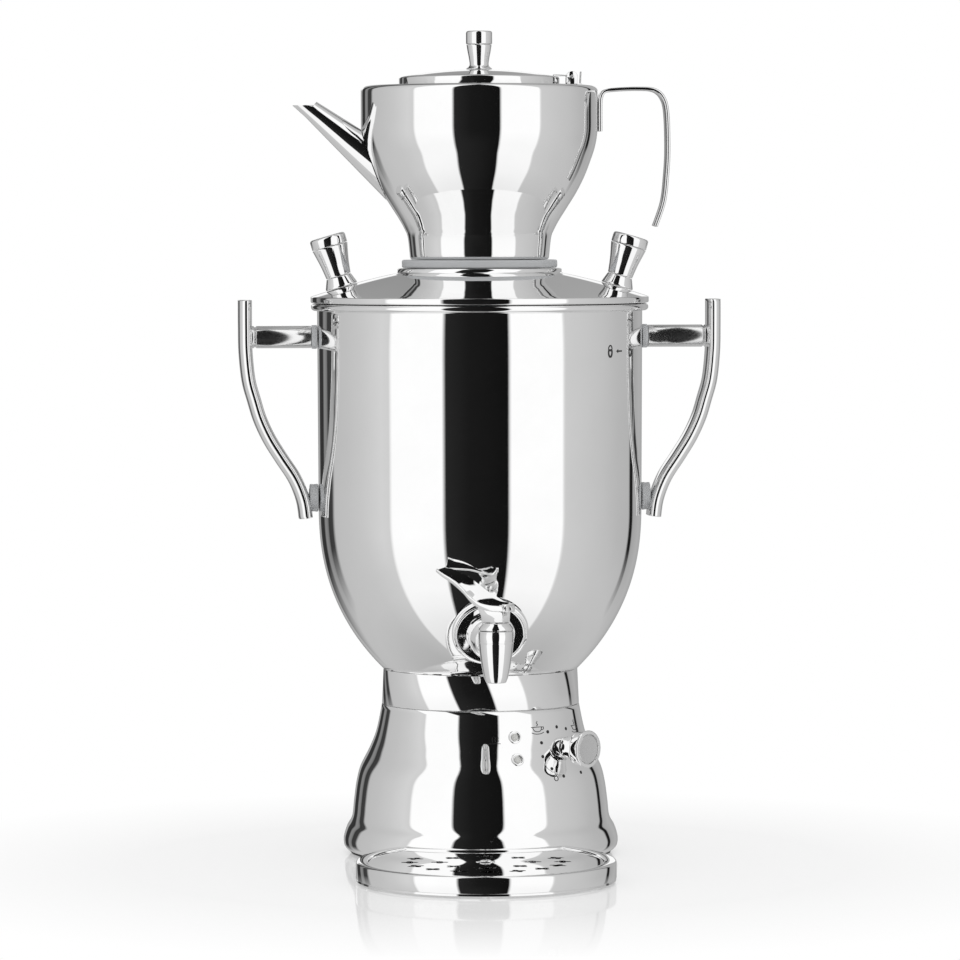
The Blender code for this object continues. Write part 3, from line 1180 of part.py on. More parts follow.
def make_teapot(root):
    """The teapot with its spout and strap handle. Its heights are measured from its own foot."""
    pot = empty("teapot", root, (0, 0, POT_BASE))
    wall = pot_profile()
    foot = wall[0][0]
    floor = POT_FOOT_RISE + SHEET
    inner = [p for p in offset(wall, SHEET) if floor < p[1] < POT_HEIGHT - SHEET]
    neck_top = POT_NECK_TOP - POT_BASE
    outline = [
        (0, POT_FOOT_RISE), (foot - POT_FOOT_INSET - SHEET, POT_FOOT_RISE), (foot - POT_FOOT_INSET, 0),
        (foot - SHEET / 2, 0),
    ]
    outline += wall + [
        (POT_NECK_RADIUS, POT_HEIGHT), (POT_NECK_RADIUS, neck_top), (POT_NECK_RADIUS - SHEET, neck_top),
        (POT_NECK_RADIUS - SHEET, POT_HEIGHT - SHEET), (inner[-1][0] - SHEET, POT_HEIGHT - SHEET),
    ]
    outline += inner[::-2] + [(foot - SHEET, floor), (0, floor)]
    body = piece("teapot_body", turned(outline), STEEL, pot)

    run = SPOUT_TIP_REACH - SPOUT_ROOT_REACH
    rise = SPOUT_TIP_RISE - SPOUT_ROOT_RISE
    length = math.hypot(run, rise)
    tilt = (0, math.atan2(rise, run) - math.pi / 2, 0)
    root_place = (-SPOUT_ROOT_REACH, 0, SPOUT_ROOT_RISE)
    past = 2 * SPOUT_TIP_RADIUS
    end_radius = SPOUT_TIP_RADIUS + (SPOUT_TIP_RADIUS - SPOUT_ROOT_RADIUS) * past / length
    cone = [
        (SPOUT_ROOT_RADIUS, 0), (end_radius, length + past), (end_radius - SPOUT_WALL, length + past),
        (SPOUT_ROOT_RADIUS - SPOUT_WALL, 0),
    ]
    spout = piece("teapot_spout", turned(cone, SMALL_STEPS), STEEL, pot, root_place, tilt)
    clear = offset(wall, -SEAT_GAP)
    clear = [(0, clear[0][1])] + clear + [(0, clear[-1][1])]
    boolean(spout, piece("pot_envelope", turned(clear), None, pot))
    reach = SPOUT_TIP_REACH + 2 * past
    level = block((-reach, -past, SPOUT_TIP_RISE), (-SPOUT_ROOT_REACH, past, SPOUT_TIP_RISE + 2 * past))
    boolean(spout, piece("spout_level", level, None, pot))

    holes = bmesh.new()
    for i in range(STRAINER_OUTER + 1):
        off = STRAINER_PITCH if i else 0
        turn = math.tau * i / STRAINER_OUTER
        place = Matrix.Translation((off * math.cos(turn), off * math.sin(turn), length / 4))
        bmesh.ops.create_cone(
            holes, cap_ends=True, segments=STRAINER_SIDES, radius1=STRAINER_HOLE_RADIUS, radius2=STRAINER_HOLE_RADIUS,
            depth=length / 2, matrix=place,
        )
    boolean(body, piece("strainer_holes", holes, None, pot, root_place, tilt))

    start = POT_RADIUS + SEAT_GAP + POT_HANDLE_THICKNESS / 2
    path = []
    for out, up in smoothed(POT_HANDLE_SHARES, 2):
        path.append((start + out * (POT_HANDLE_REACH - start), up * POT_HEIGHT))
    half = POT_HANDLE_WIDTH / 2
    skin = POT_HANDLE_THICKNESS / 2
    soft = skin / 2
    outside, inside = offset(path, skin), offset(path, -skin)
    outer_soft, inner_soft = offset(path, soft), offset(path, -soft)
    sections = []
    for o, i, p, q in zip(outside, inside, outer_soft, inner_soft):
        sections.append([
            (o[0], soft - half, o[1]), (o[0], half - soft, o[1]), (p[0], half, p[1]), (q[0], half, q[1]),
            (i[0], half - soft, i[1]), (i[0], soft - half, i[1]), (q[0], -half, q[1]), (p[0], -half, p[1]),
        ])
    piece("teapot_handle", lofted(sections), STEEL, pot)
    make_teapot_lid(pot)


def slab(outline, low, high):
    """An outline of (x, z) made solid between two places along Y."""
    return lofted([[(x, y, z) for x, z in outline] for y in (low, high)])


def make_teapot_lid(pot):
    """The domed lid with its knob, hinged on a pin in a two-eared bracket that has an upright stop."""
    pin_z = HINGE_Z - POT_BASE
    base_low = POT_HEIGHT + SEAT_GAP
    base_high = base_low + HINGE_EAR_THICKNESS
    left = HINGE_REACH - HINGE_EAR_RADIUS
    right = HINGE_REACH + HINGE_EAR_RADIUS
    stop_end = HINGE_STOP_REACH + HINGE_EAR_THICKNESS
    bracket = block((left, -HINGE_HALF_WIDTH, base_low), (stop_end, HINGE_HALF_WIDTH, base_high))
    bracket = piece("teapot_hinge_bracket", bracket, STEEL, pot)
    middle = (base_low + base_high) / 2
    ear = [(left, middle)] + arc((HINGE_REACH, pin_z), HINGE_EAR_RADIUS, 180, 0, HINGE_EAR_STEPS) + [(right, middle)]
    for word, side in (("front", -1), ("back", 1)):
        low, high = sorted((side * HINGE_HALF_WIDTH, side * (HINGE_HALF_WIDTH - HINGE_EAR_THICKNESS)))
        boolean(bracket, piece(f"hinge_ear_{word}", slab(ear, low, high), None, pot), "UNION")
    stop_half = HINGE_HALF_WIDTH * HINGE_STOP_SHARE
    stop = block((HINGE_STOP_REACH, -stop_half, middle), (stop_end, stop_half, base_low + HINGE_STOP_HEIGHT))
    boolean(bracket, piece("hinge_stop", stop, None, pot), "UNION")

    hinge = empty("teapot_hinge_axis", pot, (HINGE_REACH, 0, pin_z))
    along = (math.pi / 2, 0, 0)
    pin_end = HINGE_HALF_WIDTH + HINGE_EAR_THICKNESS / 2
    piece("teapot_hinge_pin", cylinder(HINGE_PIN_RADIUS, -pin_end, pin_end, PIN_STEPS), SATIN_STEEL, hinge, rotation=along)
    bore = cylinder(HINGE_PIN_RADIUS + SEAT_GAP, -pin_end - OVERRUN, pin_end + OVERRUN, PIN_STEPS)
    bore = piece("hinge_bore", bore, None, hinge, rotation=along)
    boolean(bracket, bore)

    home = (-HINGE_REACH, 0, -pin_z)
    leaf_half = HINGE_HALF_WIDTH - HINGE_EAR_THICKNESS - RUN_GAP
    leaf_low = pot_lid_height(LEAF_START) + SEAT_GAP
    tongue = block((LEAF_START, -leaf_half, leaf_low), (HINGE_REACH, leaf_half, leaf_low + LEAF_THICKNESS))
    leaf = piece("teapot_hinge_leaf", tongue, STEEL, hinge, home)
    barrel = cylinder(HINGE_EAR_RADIUS - SHEET / 2, -leaf_half, leaf_half, PIN_STEPS)
    boolean(leaf, piece("leaf_barrel", barrel, None, hinge, rotation=along), "UNION")
    boolean(leaf, bore)

    edge = POT_LID_RADIUS - SHEET / 2
    low = POT_LID_LOW - POT_BASE
    edge_top = POT_LID_EDGE_TOP - POT_BASE
    radii = [edge * i / POT_LID_STEPS for i in range(POT_LID_STEPS + 1)]
    outline = [(r, pot_lid_height(r)) for r in radii]
    outline += [
        (POT_LID_RADIUS, edge_top - SHEET / 2), (POT_LID_RADIUS, low), (POT_LID_RADIUS - SHEET, low),
        (POT_LID_RADIUS - SHEET, edge_top - SHEET),
    ]
    outline += [(r, pot_lid_height(r) - SHEET) for r in radii[-2::-1]]
    piece("teapot_lid", turned(outline), STEEL, hinge, home)

    collar_low = pot_lid_height(0) + SEAT_GAP
    collar_top = collar_low + POT_KNOB_COLLAR
    body_top = collar_top + POT_KNOB_BODY
    cap_low = body_top + SEAT_GAP
    cap_top = cap_low + POT_KNOB_CAP
    belly = (POT_KNOB_WAIST + POT_KNOB_RADIUS) / 2
    outline = [
        (0, collar_low), (POT_KNOB_RADIUS, collar_low), (POT_KNOB_WAIST, collar_top),
        (belly, collar_top + POT_KNOB_BODY * BELLY_SHARE), (POT_KNOB_RADIUS - SEAT_GAP, body_top), (0, body_top),
    ]
    piece("teapot_knob_body", turned(outline, SMALL_STEPS), STEEL, hinge, home)
    round_off = SHEET / 2
    outline = [
        (0, cap_low), (POT_KNOB_RADIUS, cap_low), (POT_KNOB_RADIUS, cap_top - 2 * round_off),
        (POT_KNOB_RADIUS - round_off, cap_top - round_off), (POT_KNOB_RADIUS - 2 * round_off, cap_top), (0, cap_top),
    ]
    piece("teapot_knob_cap", turned(outline, SMALL_STEPS), STEEL, hinge, home)


def tray_outline(inset):
    """The tray seen from above, drawn in by an inset: round in front, longer behind, notched to clear the bell."""
    radius = TRAY_RADIUS - inset
    back = TRAY_BACK_LENGTH - inset
    notch = (BELL_RADIUS + TRAY_BELL_CLEARANCE) / math.cos(TRAY_NOTCH_HALF_STEP) + inset
    centre = TRAY_CENTRE_REACH
    low, high = 0, math.pi / 2
    for _ in range(HALVINGS):
        turn = (low + high) / 2
        reach = math.hypot(radius * math.cos(turn), centre - back * math.sin(turn))
        low, high = (turn, high) if reach > notch else (low, turn)
    right = []
    for i in range(TRAY_BACK_STEPS + 1):
        t = turn * i / TRAY_BACK_STEPS
        right.append((radius * math.cos(t), back * math.sin(t)))
    corner = math.degrees(math.atan2(right[-1][1] - centre, right[-1][0]))
    notched = arc((0, centre), notch, corner, -180 - corner, TRAY_NOTCH_STEPS)
    front = arc((0, 0), radius, 180, 360, TRAY_FRONT_STEPS)
    left = [(-x, y) for x, y in right[::-1]]
    return right + notched[1:-1] + left + front[1:-1]


def make_drip_tray(base):
    """The pressed tray on three small feet, and the grill plate that lies on its ledge."""
    tray_frame = empty("drip_tray_frame", base, (0, -TRAY_CENTRE_REACH, 0))
    rim = TRAY_RIM_WIDTH
    well = rim + TRAY_LEDGE
    step_z = TRAY_HEIGHT - TRAY_STEP
    levels = [
        (well, TRAY_FLOOR_Z - SHEET), (well - SHEET, TRAY_FLOOR_Z), (well - SHEET, step_z - SHEET),
        (rim - SHEET, step_z - SHEET), (rim - SHEET, TRAY_HEIGHT - SHEET), (SHEET, TRAY_HEIGHT - SHEET),
        (SHEET, TRAY_RISE), (0, TRAY_RISE), (0, TRAY_HEIGHT - TRAY_RIM_ROUND), (TRAY_RIM_ROUND, TRAY_HEIGHT),
        (rim, TRAY_HEIGHT), (rim, step_z), (well, step_z), (well, TRAY_FLOOR_Z + SHEET / 2),
        (well + SHEET / 2, TRAY_FLOOR_Z),
    ]
    sections = [[(x, y, z) for x, y in tray_outline(inset)] for inset, z in levels]
    tray = piece("drip_tray", lofted(sections), STEEL, tray_frame)
    for i in range(TRAY_FOOT_COUNT):
        turn = math.tau * i / TRAY_FOOT_COUNT - math.pi / 2
        place = (TRAY_FOOT_OFFSET * math.cos(turn), TRAY_FOOT_OFFSET * math.sin(turn), 0)
        foot = cylinder(TRAY_FOOT_RADIUS, 0, TRAY_FLOOR_Z - SHEET / 2, PIN_STEPS)
        boolean(tray, piece(f"tray_foot_{i + 1}", foot, None, tray_frame, place), "UNION")

    low = step_z + SEAT_GAP
    high = low + GRILL_THICKNESS
    grill = piece("drip_grill", prism(tray_outline(rim + RUN_GAP), low, high), STEEL, tray_frame)
    span, arm = CROSS_SPAN / 2, CROSS_ARM / 2
    quarter = [(span, -arm), (span, arm), (arm, arm)]
    cross = []
    for i in range(4):
        turn = math.pi / 2 * i
        for x, y in quarter:
            cross.append((x * math.cos(turn) - y * math.sin(turn), x * math.sin(turn) + y * math.cos(turn)))
    places = [(OUTER_CROSS_RADIUS, CROSS_STEP * (1 - i)) for i in range(OUTER_CROSS_COUNT)]
    places += [(INNER_CROSS_RADIUS, math.tau * i / INNER_CROSS_COUNT) for i in range(INNER_CROSS_COUNT)]
    for i, (radius, turn) in enumerate(places):
        cutter = prism(cross, low - OVERRUN, high + OVERRUN)
        place = (radius * math.cos(turn), radius * math.sin(turn), 0)
        boolean(grill, piece(f"cross_{i + 1}", cutter, None, tray_frame, place, (0, 0, turn)))
    dimple = cylinder(GRILL_DIMPLE_RADIUS, high - GRILL_DIMPLE_DEPTH, high + OVERRUN)
    boolean(grill, piece("grill_dimple", dimple, None, tray_frame))


def main():
    for old in list(bpy.data.objects):
        bpy.data.objects.remove(old)
    root = empty("samovar", location=(0, STAND_SHIFT, 0))
    base = empty("base", root, rotation=(0, 0, BASE_TURN))
    make_base(base)
    make_controls(base)
    make_drip_tray(base)
    tank = make_tank(root)
    make_heater(root)
    for word, side in (("left", -1), ("right", 1)):
        make_side_handle(root, word, side)
    make_tap(root, tank)
    make_lid(root)
    make_teapot(root)


main()
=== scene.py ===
# %% [markdown]
# An electric samovar in mirror-polished steel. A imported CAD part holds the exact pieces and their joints,
# and this file dresses it: smooth turned shells, sculpted castings, finishes, a camera and a studio.
# Polished steel shows every facet, so nearly all that shines is turned again here at a finer grain.

# %% Load the frame
import json
import math
import bmesh
import bpy
from mathutils import Matrix, Vector


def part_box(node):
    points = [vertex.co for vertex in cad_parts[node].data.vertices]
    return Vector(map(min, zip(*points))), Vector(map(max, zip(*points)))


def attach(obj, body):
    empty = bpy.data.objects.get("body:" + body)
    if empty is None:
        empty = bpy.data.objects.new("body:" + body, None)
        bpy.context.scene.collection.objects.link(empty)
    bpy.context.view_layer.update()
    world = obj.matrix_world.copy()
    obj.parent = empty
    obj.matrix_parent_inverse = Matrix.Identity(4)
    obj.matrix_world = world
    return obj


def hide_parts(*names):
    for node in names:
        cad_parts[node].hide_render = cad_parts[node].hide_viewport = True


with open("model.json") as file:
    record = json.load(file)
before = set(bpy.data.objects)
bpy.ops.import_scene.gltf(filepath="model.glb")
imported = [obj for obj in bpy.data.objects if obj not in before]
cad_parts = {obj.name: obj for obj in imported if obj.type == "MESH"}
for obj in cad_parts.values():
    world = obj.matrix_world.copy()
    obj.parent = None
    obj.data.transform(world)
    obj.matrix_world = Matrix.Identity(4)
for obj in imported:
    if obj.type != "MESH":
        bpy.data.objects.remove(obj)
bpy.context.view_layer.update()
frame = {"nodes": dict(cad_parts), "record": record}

# %% [markdown]
# Everything on the samovar stands about the tank's upright axis, so its place is read once from the
# tank's own box. The other sizes follow the CAD part, in metres, and stand at the top of each cell,
# with those that only the dressed pieces have, such as roundings.

# %% Where the axis stands
tank_low, tank_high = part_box("tank")
AXIS_Y = (tank_low[1] + tank_high[1]) / 2
AXIS = Vector((0, AXIS_Y, 0))
SHEET = 0.0010
ROUND = 128
FINE = 64
EDGE = 0.00025
FINE_EDGE = 0.0002
HAIR_EDGE = 0.0001
EDGE_ANGLE = math.radians(28)
WELD = 0.000001
print("axis at y", round(AXIS_Y, 5))

# %% [markdown]
# A turned piece is made as on a lathe. One vertex is extruded along the profile, and the line is spun
# about the upright axis. Smooth stretches of a profile are given as a few points and drawn through with
# a flowing curve, and real corners stay corners, which a fine bevel then breaks as a polisher would.

# %% Profile helpers
def flow(points, per_span=6):
    """Points on a Catmull-Rom curve through the given ones, both ends kept."""
    ends = [points[0]] + list(points) + [points[-1]]
    drawn = []
    for i in range(1, len(ends) - 2):
        a, b, c, d = (Vector(p) for p in ends[i - 1 : i + 3])
        for step in range(per_span):
            t = step / per_span
            middle = b * 2 + (c - a) * t + (a * 2 - b * 5 + c * 4 - d) * t * t
            drawn.append(tuple((middle + (b * 3 - a - c * 3 + d) * t**3) / 2))
    return drawn + [tuple(points[-1])]


def inward(points, distance):
    """A rising profile moved towards the axis by a distance."""
    moved = []
    last = len(points) - 1
    for i, point in enumerate(points):
        along = Vector(points[min(i + 1, last)]) - Vector(points[max(i - 1, 0)])
        along.normalize()
        moved.append((point[0] - along[1] * distance, point[1] + along[0] * distance))
    return moved


def bow(centre, radius, start, end, steps=8):
    """Points on an arc in the profile plane, from one angle in degrees to another."""
    turns = [math.radians(start + (end - start) * i / steps) for i in range(steps + 1)]
    return [(centre[0] + radius * math.cos(t), centre[1] + radius * math.sin(t)) for t in turns]


def only(piece):
    """Selects one object and makes it the active one."""
    bpy.ops.object.select_all(action="DESELECT")
    piece.select_set(True)
    bpy.context.view_layer.objects.active = piece


def finish_mesh(piece, edge=EDGE, segments=3):
    """Closes seams, turns the faces outwards, breaks sharp edges and shades the piece smooth."""
    only(piece)
    bpy.ops.object.mode_set(mode="EDIT")
    bpy.ops.mesh.select_all(action="SELECT")
    bpy.ops.mesh.remove_doubles(threshold=WELD)
    bpy.ops.mesh.normals_make_consistent(inside=False)
    bpy.ops.object.mode_set(mode="OBJECT")
    if edge:
        broken = piece.modifiers.new("broken edge", "BEVEL")
        broken.width = edge
        broken.segments = segments
        broken.limit_method = "ANGLE"
        broken.angle_limit = EDGE_ANGLE
        broken.harden_normals = True
        bpy.ops.object.modifier_apply(modifier=broken.name)
    bpy.ops.object.shade_smooth()
    return piece


def settle(piece, place=(0, 0, 0), lean=(0, 0, 0)):
    """Puts a piece that was made upright at the origin in its place, with the place in its mesh."""
    only(piece)
    turn = Matrix.Identity(4)
    for angle, axis in zip(lean, "XYZ"):
        turn = Matrix.Rotation(angle, 4, axis) @ turn
    piece.matrix_world = Matrix.Translation(place) @ turn
    bpy.ops.object.transform_apply(location=True, rotation=True, scale=True)
    return piece


def turned(name, profile, body, stands_for=(), place=AXIS, lean=(0, 0, 0), steps=ROUND, edge=EDGE):
    """Spins a profile of (radius, height) into a piece that rides on a body."""
    bpy.ops.object.select_all(action="DESELECT")
    bpy.ops.mesh.primitive_circle_add(vertices=3, radius=EDGE)
    piece = bpy.context.object
    piece.name = name
    bpy.ops.object.mode_set(mode="EDIT")
    bpy.ops.mesh.merge(type="CENTER")
    bpy.ops.transform.translate(value=(profile[0][0], 0, profile[0][1]))
    for (r0, z0), (r1, z1) in zip(profile, profile[1:]):
        bpy.ops.mesh.extrude_region_move(TRANSFORM_OT_translate={"value": (r1 - r0, 0, z1 - z0)})
    bpy.ops.mesh.select_all(action="SELECT")
    bpy.ops.mesh.spin(steps=steps, angle=math.tau, center=(0, 0, 0), axis=(0, 0, 1))
    bpy.ops.object.mode_set(mode="OBJECT")
    finish_mesh(piece, edge)
    settle(piece, place, lean)
    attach(piece, body)
    if stands_for:
        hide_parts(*stands_for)
    print(name, len(piece.data.polygons), "faces")
    return piece

# %% [markdown]
# The photograph was taken from nearly level, with a long lens, a little to the left of the tap. The
# distance, height and focal length were found from how the rims of the tank open with height.

# %% Camera
CAMERA_AZIMUTH = math.radians(-4.1)
CAMERA_DISTANCE = 2.795
CAMERA_HEIGHT = 0.351
AIM_HEIGHT = 0.209
LENS_MM = 187.5
SENSOR_MM = 36
CAMERA_ROLL = math.radians(-0.12)

bpy.ops.object.select_all(action="DESELECT")
bpy.ops.object.camera_add()
camera = bpy.context.object
camera.name = "studio_camera"
camera.data.lens = LENS_MM
camera.data.sensor_width = SENSOR_MM
eye = AXIS + Vector((math.sin(CAMERA_AZIMUTH), -math.cos(CAMERA_AZIMUTH), 0)) * CAMERA_DISTANCE
eye.z = CAMERA_HEIGHT
look = AXIS + Vector((0, 0, AIM_HEIGHT)) - eye
camera.location = eye
facing = look.to_track_quat("-Z", "Y").to_matrix().to_4x4() @ Matrix.Rotation(CAMERA_ROLL, 4, "Z")
camera.rotation_euler = facing.to_euler()
bpy.context.scene.camera = camera
bpy.context.scene.view_settings.view_transform = "Standard"
print("camera at", [round(v, 3) for v in eye])

# %% [markdown]
# Mirror steel is drawn by what it reflects. In a product studio that is a dark card straight in front,
# bright soft boxes on both sides of it, and a pale grey room behind. Here the world plays them: a ray
# that left a shiny surface reads its compass direction, and every other ray finds plain white.

# %% Studio light
# Each step is a compass direction in degrees from straight in front, and the grey that is seen there.
STUDIO_RING = [
    (-180, 0.30), (-172, 0.36), (-166, 0.42), (-164, 0.04), (-153, 0.03), (-150, 0.26), (-144, 0.20),
    (-142, 0.04), (-135, 0.05), (-131, 0.52), (-112, 0.55), (-95, 0.60), (-78, 0.68), (-71.5, 0.66),
    (-69.5, 1.05),
    (-30.4, 1.05), (-28.8, 0.020), (-12, 0.010), (15.8, 0.006), (17.4, 1.05), (56.5, 1.05),
    (58.2, 0.63), (93, 0.55), (112, 0.49), (128.8, 0.47), (130.2, 0.01), (135, 0.01),
    (136.8, 0.38), (152, 0.44), (172, 0.36), (180, 0.30),
]
# Low down the room is plain: the same card and boxes, but no dark strips behind.
LOW_RING = [
    (-180, 0.50), (-95, 0.58), (-71.5, 0.64), (-69.5, 1.0), (-30.4, 1.0), (-28.8, 0.020), (15.8, 0.006),
    (17.4, 1.0), (56.5, 1.0), (58.2, 0.62), (93, 0.56), (180, 0.50),
]
# How far the low ring takes over, and how much of its grey is left, by the sine of the direction's rise.
LOW_SHARE = [(-1.0, 1.0), (-0.42, 1.0), (-0.16, 0.0), (1.0, 0.0)]
FLOOR_SHADE = [(-1.0, 0.74), (-0.94, 0.80), (-0.84, 0.86), (-0.70, 0.95), (-0.58, 1.0), (1.0, 1.0)]

# A low white screen stands far behind, so the floor's own mirror image is white where nothing stands.
SCREEN_TURN = [(-180, 1.0), (-168, 1.0), (-166, 0.0), (166, 0.0), (168, 1.0), (180, 1.0)]
SCREEN_RISE = [(-1.0, 0.0), (0.05, 0.0), (0.07, 1.0), (0.17, 1.0), (0.19, 0.0), (1.0, 0.0)]

WHITE = (1, 1, 1, 1)

world = bpy.data.worlds.new("studio")
bpy.context.scene.world = world
world.use_nodes = True
tree = world.node_tree
tree.nodes.clear()


def feed(tree, slot, value):
    """Links a socket to an input, or sets the input to a plain value."""
    if isinstance(value, bpy.types.NodeSocket):
        tree.links.new(value, slot)
    else:
        slot.default_value = value


def math_node(tree, operation, first, second, clamp=False):
    """A Math node whose inputs are sockets or numbers."""
    node = tree.nodes.new("ShaderNodeMath")
    node.operation = operation
    node.use_clamp = clamp
    feed(tree, node.inputs[0], first)
    feed(tree, node.inputs[1], second)
    return node.outputs[0]


def mix_node(tree, share, first, second, blend="MIX"):
    """One colour blended into another by a share."""
    node = tree.nodes.new("ShaderNodeMix")
    node.data_type = "RGBA"
    node.blend_type = blend
    feed(tree, node.inputs["Factor"], share)
    feed(tree, node.inputs[6], first)
    feed(tree, node.inputs[7], second)
    return node.outputs[2]


def ramp_node(tree, value, stops):
    """A colour ramp with greys at the given places."""
    node = tree.nodes.new("ShaderNodeValToRGB")
    ramp = node.color_ramp
    while len(ramp.elements) < len(stops):
        ramp.elements.new(0.5)
    for element, (place, grey) in zip(ramp.elements, stops):
        element.position = place
        element.color = (grey, grey, grey, 1)
    tree.links.new(value, node.inputs[0])
    return node.outputs[0]


split = tree.nodes.new("ShaderNodeSeparateXYZ")
tree.links.new(tree.nodes.new("ShaderNodeTexCoord").outputs["Generated"], split.inputs[0])
facing_front = math_node(tree, "MULTIPLY", split.outputs["Y"], -1.0)
compass = math_node(tree, "ARCTAN2", split.outputs["X"], facing_front)
turn_share = math_node(tree, "ADD", math_node(tree, "DIVIDE", compass, math.tau), 0.5)
rise_share = math_node(tree, "ADD", math_node(tree, "MULTIPLY", split.outputs["Z"], 0.5), 0.5)


def by_turn(stops):
    """Greys round the compass, from stops in degrees."""
    return ramp_node(tree, turn_share, [(angle / 360 + 0.5, grey) for angle, grey in stops])


def by_rise(stops):
    """Greys from straight down to straight up, from stops by the sine of the rise."""
    return ramp_node(tree, rise_share, [(rise / 2 + 0.5, grey) for rise, grey in stops])


ring = mix_node(tree, by_rise(LOW_SHARE), by_turn(STUDIO_RING), by_turn(LOW_RING))
shaded = mix_node(tree, 1.0, ring, by_rise(FLOOR_SHADE), "MULTIPLY")
screen = math_node(tree, "MULTIPLY", by_turn(SCREEN_TURN), by_rise(SCREEN_RISE))
room = mix_node(tree, screen, shaded, WHITE)
shiny = tree.nodes.new("ShaderNodeLightPath").outputs["Is Glossy Ray"]
background = tree.nodes.new("ShaderNodeBackground")
tree.links.new(mix_node(tree, shiny, WHITE, room), background.inputs["Color"])
world_out = tree.nodes.new("ShaderNodeOutputWorld")
tree.links.new(background.outputs[0], world_out.inputs[0])
print(len(STUDIO_RING), "steps round the studio")

# %% [markdown]
# The floor is a wide glossy white sheet. Close to the samovar it takes a soft contact shadow and a faint
# mirror image. Further away it melts into the white background, so no horizon shows. The samovar's own
# steel looks through it at the studio ring, so the bands run on below, as they do in a lifted set.

# %% Floor
FLOOR_SIZE = 12.0
FLOOR_DROP = 0.0002
FLOOR_GREY = 0.97
FLOOR_ROUGHNESS = 0.04
MIRROR_SHARE = 0.26
GLOW_SHARE = 0.50
FADE_START = 0.20
FADE_END = 0.36

bpy.ops.object.select_all(action="DESELECT")
bpy.ops.mesh.primitive_plane_add(size=FLOOR_SIZE, location=(0, 0, -FLOOR_DROP))
floor = bpy.context.object
floor.name = "studio_floor"
bpy.ops.object.transform_apply(location=True, rotation=True, scale=True)
paint = bpy.data.materials.new("white_floor")
paint.use_nodes = True
tree = paint.node_tree
tree.nodes.clear()


def mix_shaders(tree, share, first, second):
    """One shader blended into another by a share."""
    node = tree.nodes.new("ShaderNodeMixShader")
    feed(tree, node.inputs[0], share)
    tree.links.new(first, node.inputs[1])
    tree.links.new(second, node.inputs[2])
    return node.outputs[0]


away = tree.nodes.new("ShaderNodeVectorMath")
away.operation = "LENGTH"
tree.links.new(tree.nodes.new("ShaderNodeTexCoord").outputs["Object"], away.inputs[0])
past = math_node(tree, "SUBTRACT", away.outputs["Value"], FADE_START)
far = math_node(tree, "DIVIDE", past, FADE_END - FADE_START, clamp=True)
matt = tree.nodes.new("ShaderNodeBsdfDiffuse")
matt.inputs["Color"].default_value = (FLOOR_GREY, FLOOR_GREY, FLOOR_GREY, 1)
gloss = tree.nodes.new("ShaderNodeBsdfAnisotropic")
gloss.inputs["Roughness"].default_value = FLOOR_ROUGHNESS
glow = tree.nodes.new("ShaderNodeEmission").outputs[0]
lit = mix_shaders(tree, GLOW_SHARE, matt.outputs[0], glow)
polished = mix_shaders(tree, MIRROR_SHARE, lit, gloss.outputs[0])
melted = mix_shaders(tree, far, polished, glow)
clear = tree.nodes.new("ShaderNodeBsdfTransparent")
shiny = tree.nodes.new("ShaderNodeLightPath").outputs["Is Glossy Ray"]
out = tree.nodes.new("ShaderNodeOutputMaterial")
tree.links.new(mix_shaders(tree, shiny, melted, clear.outputs[0]), out.inputs[0])
floor.data.materials.append(paint)
print("floor of", FLOOR_SIZE, "m")

# %% [markdown]
# The finishes come next. Polished stainless steel is almost a mirror, with a faint haze from polishing
# and wiping that only shows in how sharp a reflection is. Two effects are shared by several finishes, so
# each is a node group: fine scratches with smudges for metal, and a small grain for moulded pieces.

# %% Shared effects
SURFACE = [("Roughness", "NodeSocketFloat"), ("Normal", "NodeSocketVector"), ("Tone", "NodeSocketFloat")]
SMUDGE_START = 0.38
SMUDGE_GAIN = 2.2
SMUDGE_TONE = 0.965
LINE_SCALE = 340.0
LINE_STRETCH = (1.0, 1.0, 9.0)
RIPPLE_HEIGHT = 0.0004
PIT_DEPTH = 0.00015
DUST_SCALE = 60.0
DUST_TONE = 0.93


def effect_group(name, inputs):
    """An empty node group with number inputs that describes a surface, and where its pattern lies."""
    group = bpy.data.node_groups.new(name, "ShaderNodeTree")
    for label, value in inputs:
        socket = group.interface.new_socket(label, in_out="INPUT", socket_type="NodeSocketFloat")
        socket.default_value = value
    for label, kind in SURFACE:
        group.interface.new_socket(label, in_out="OUTPUT", socket_type=kind)
    taken = group.nodes.new("NodeGroupInput").outputs
    given = group.nodes.new("NodeGroupOutput").inputs
    return group, taken, given, group.nodes.new("ShaderNodeTexCoord").outputs["Object"]


def noise(tree, place, scale, detail, roughness=0.5):
    """A noise mask."""
    node = tree.nodes.new("ShaderNodeTexNoise")
    tree.links.new(place, node.inputs["Vector"])
    feed(tree, node.inputs["Scale"], scale)
    node.inputs["Detail"].default_value = detail
    node.inputs["Roughness"].default_value = roughness
    return node.outputs["Fac"]


def mixed(tree, share, low, high):
    """A number between two others by a mask."""
    node = tree.nodes.new("ShaderNodeMapRange")
    tree.links.new(share, node.inputs["Value"])
    feed(tree, node.inputs["To Min"], low)
    feed(tree, node.inputs["To Max"], high)
    return node.outputs["Result"]


def relief(tree, height, strength, distance):
    """A normal bumped by a height mask."""
    node = tree.nodes.new("ShaderNodeBump")
    node.inputs["Distance"].default_value = distance
    tree.links.new(strength, node.inputs["Strength"])
    tree.links.new(height, node.inputs["Height"])
    return node.outputs[0]


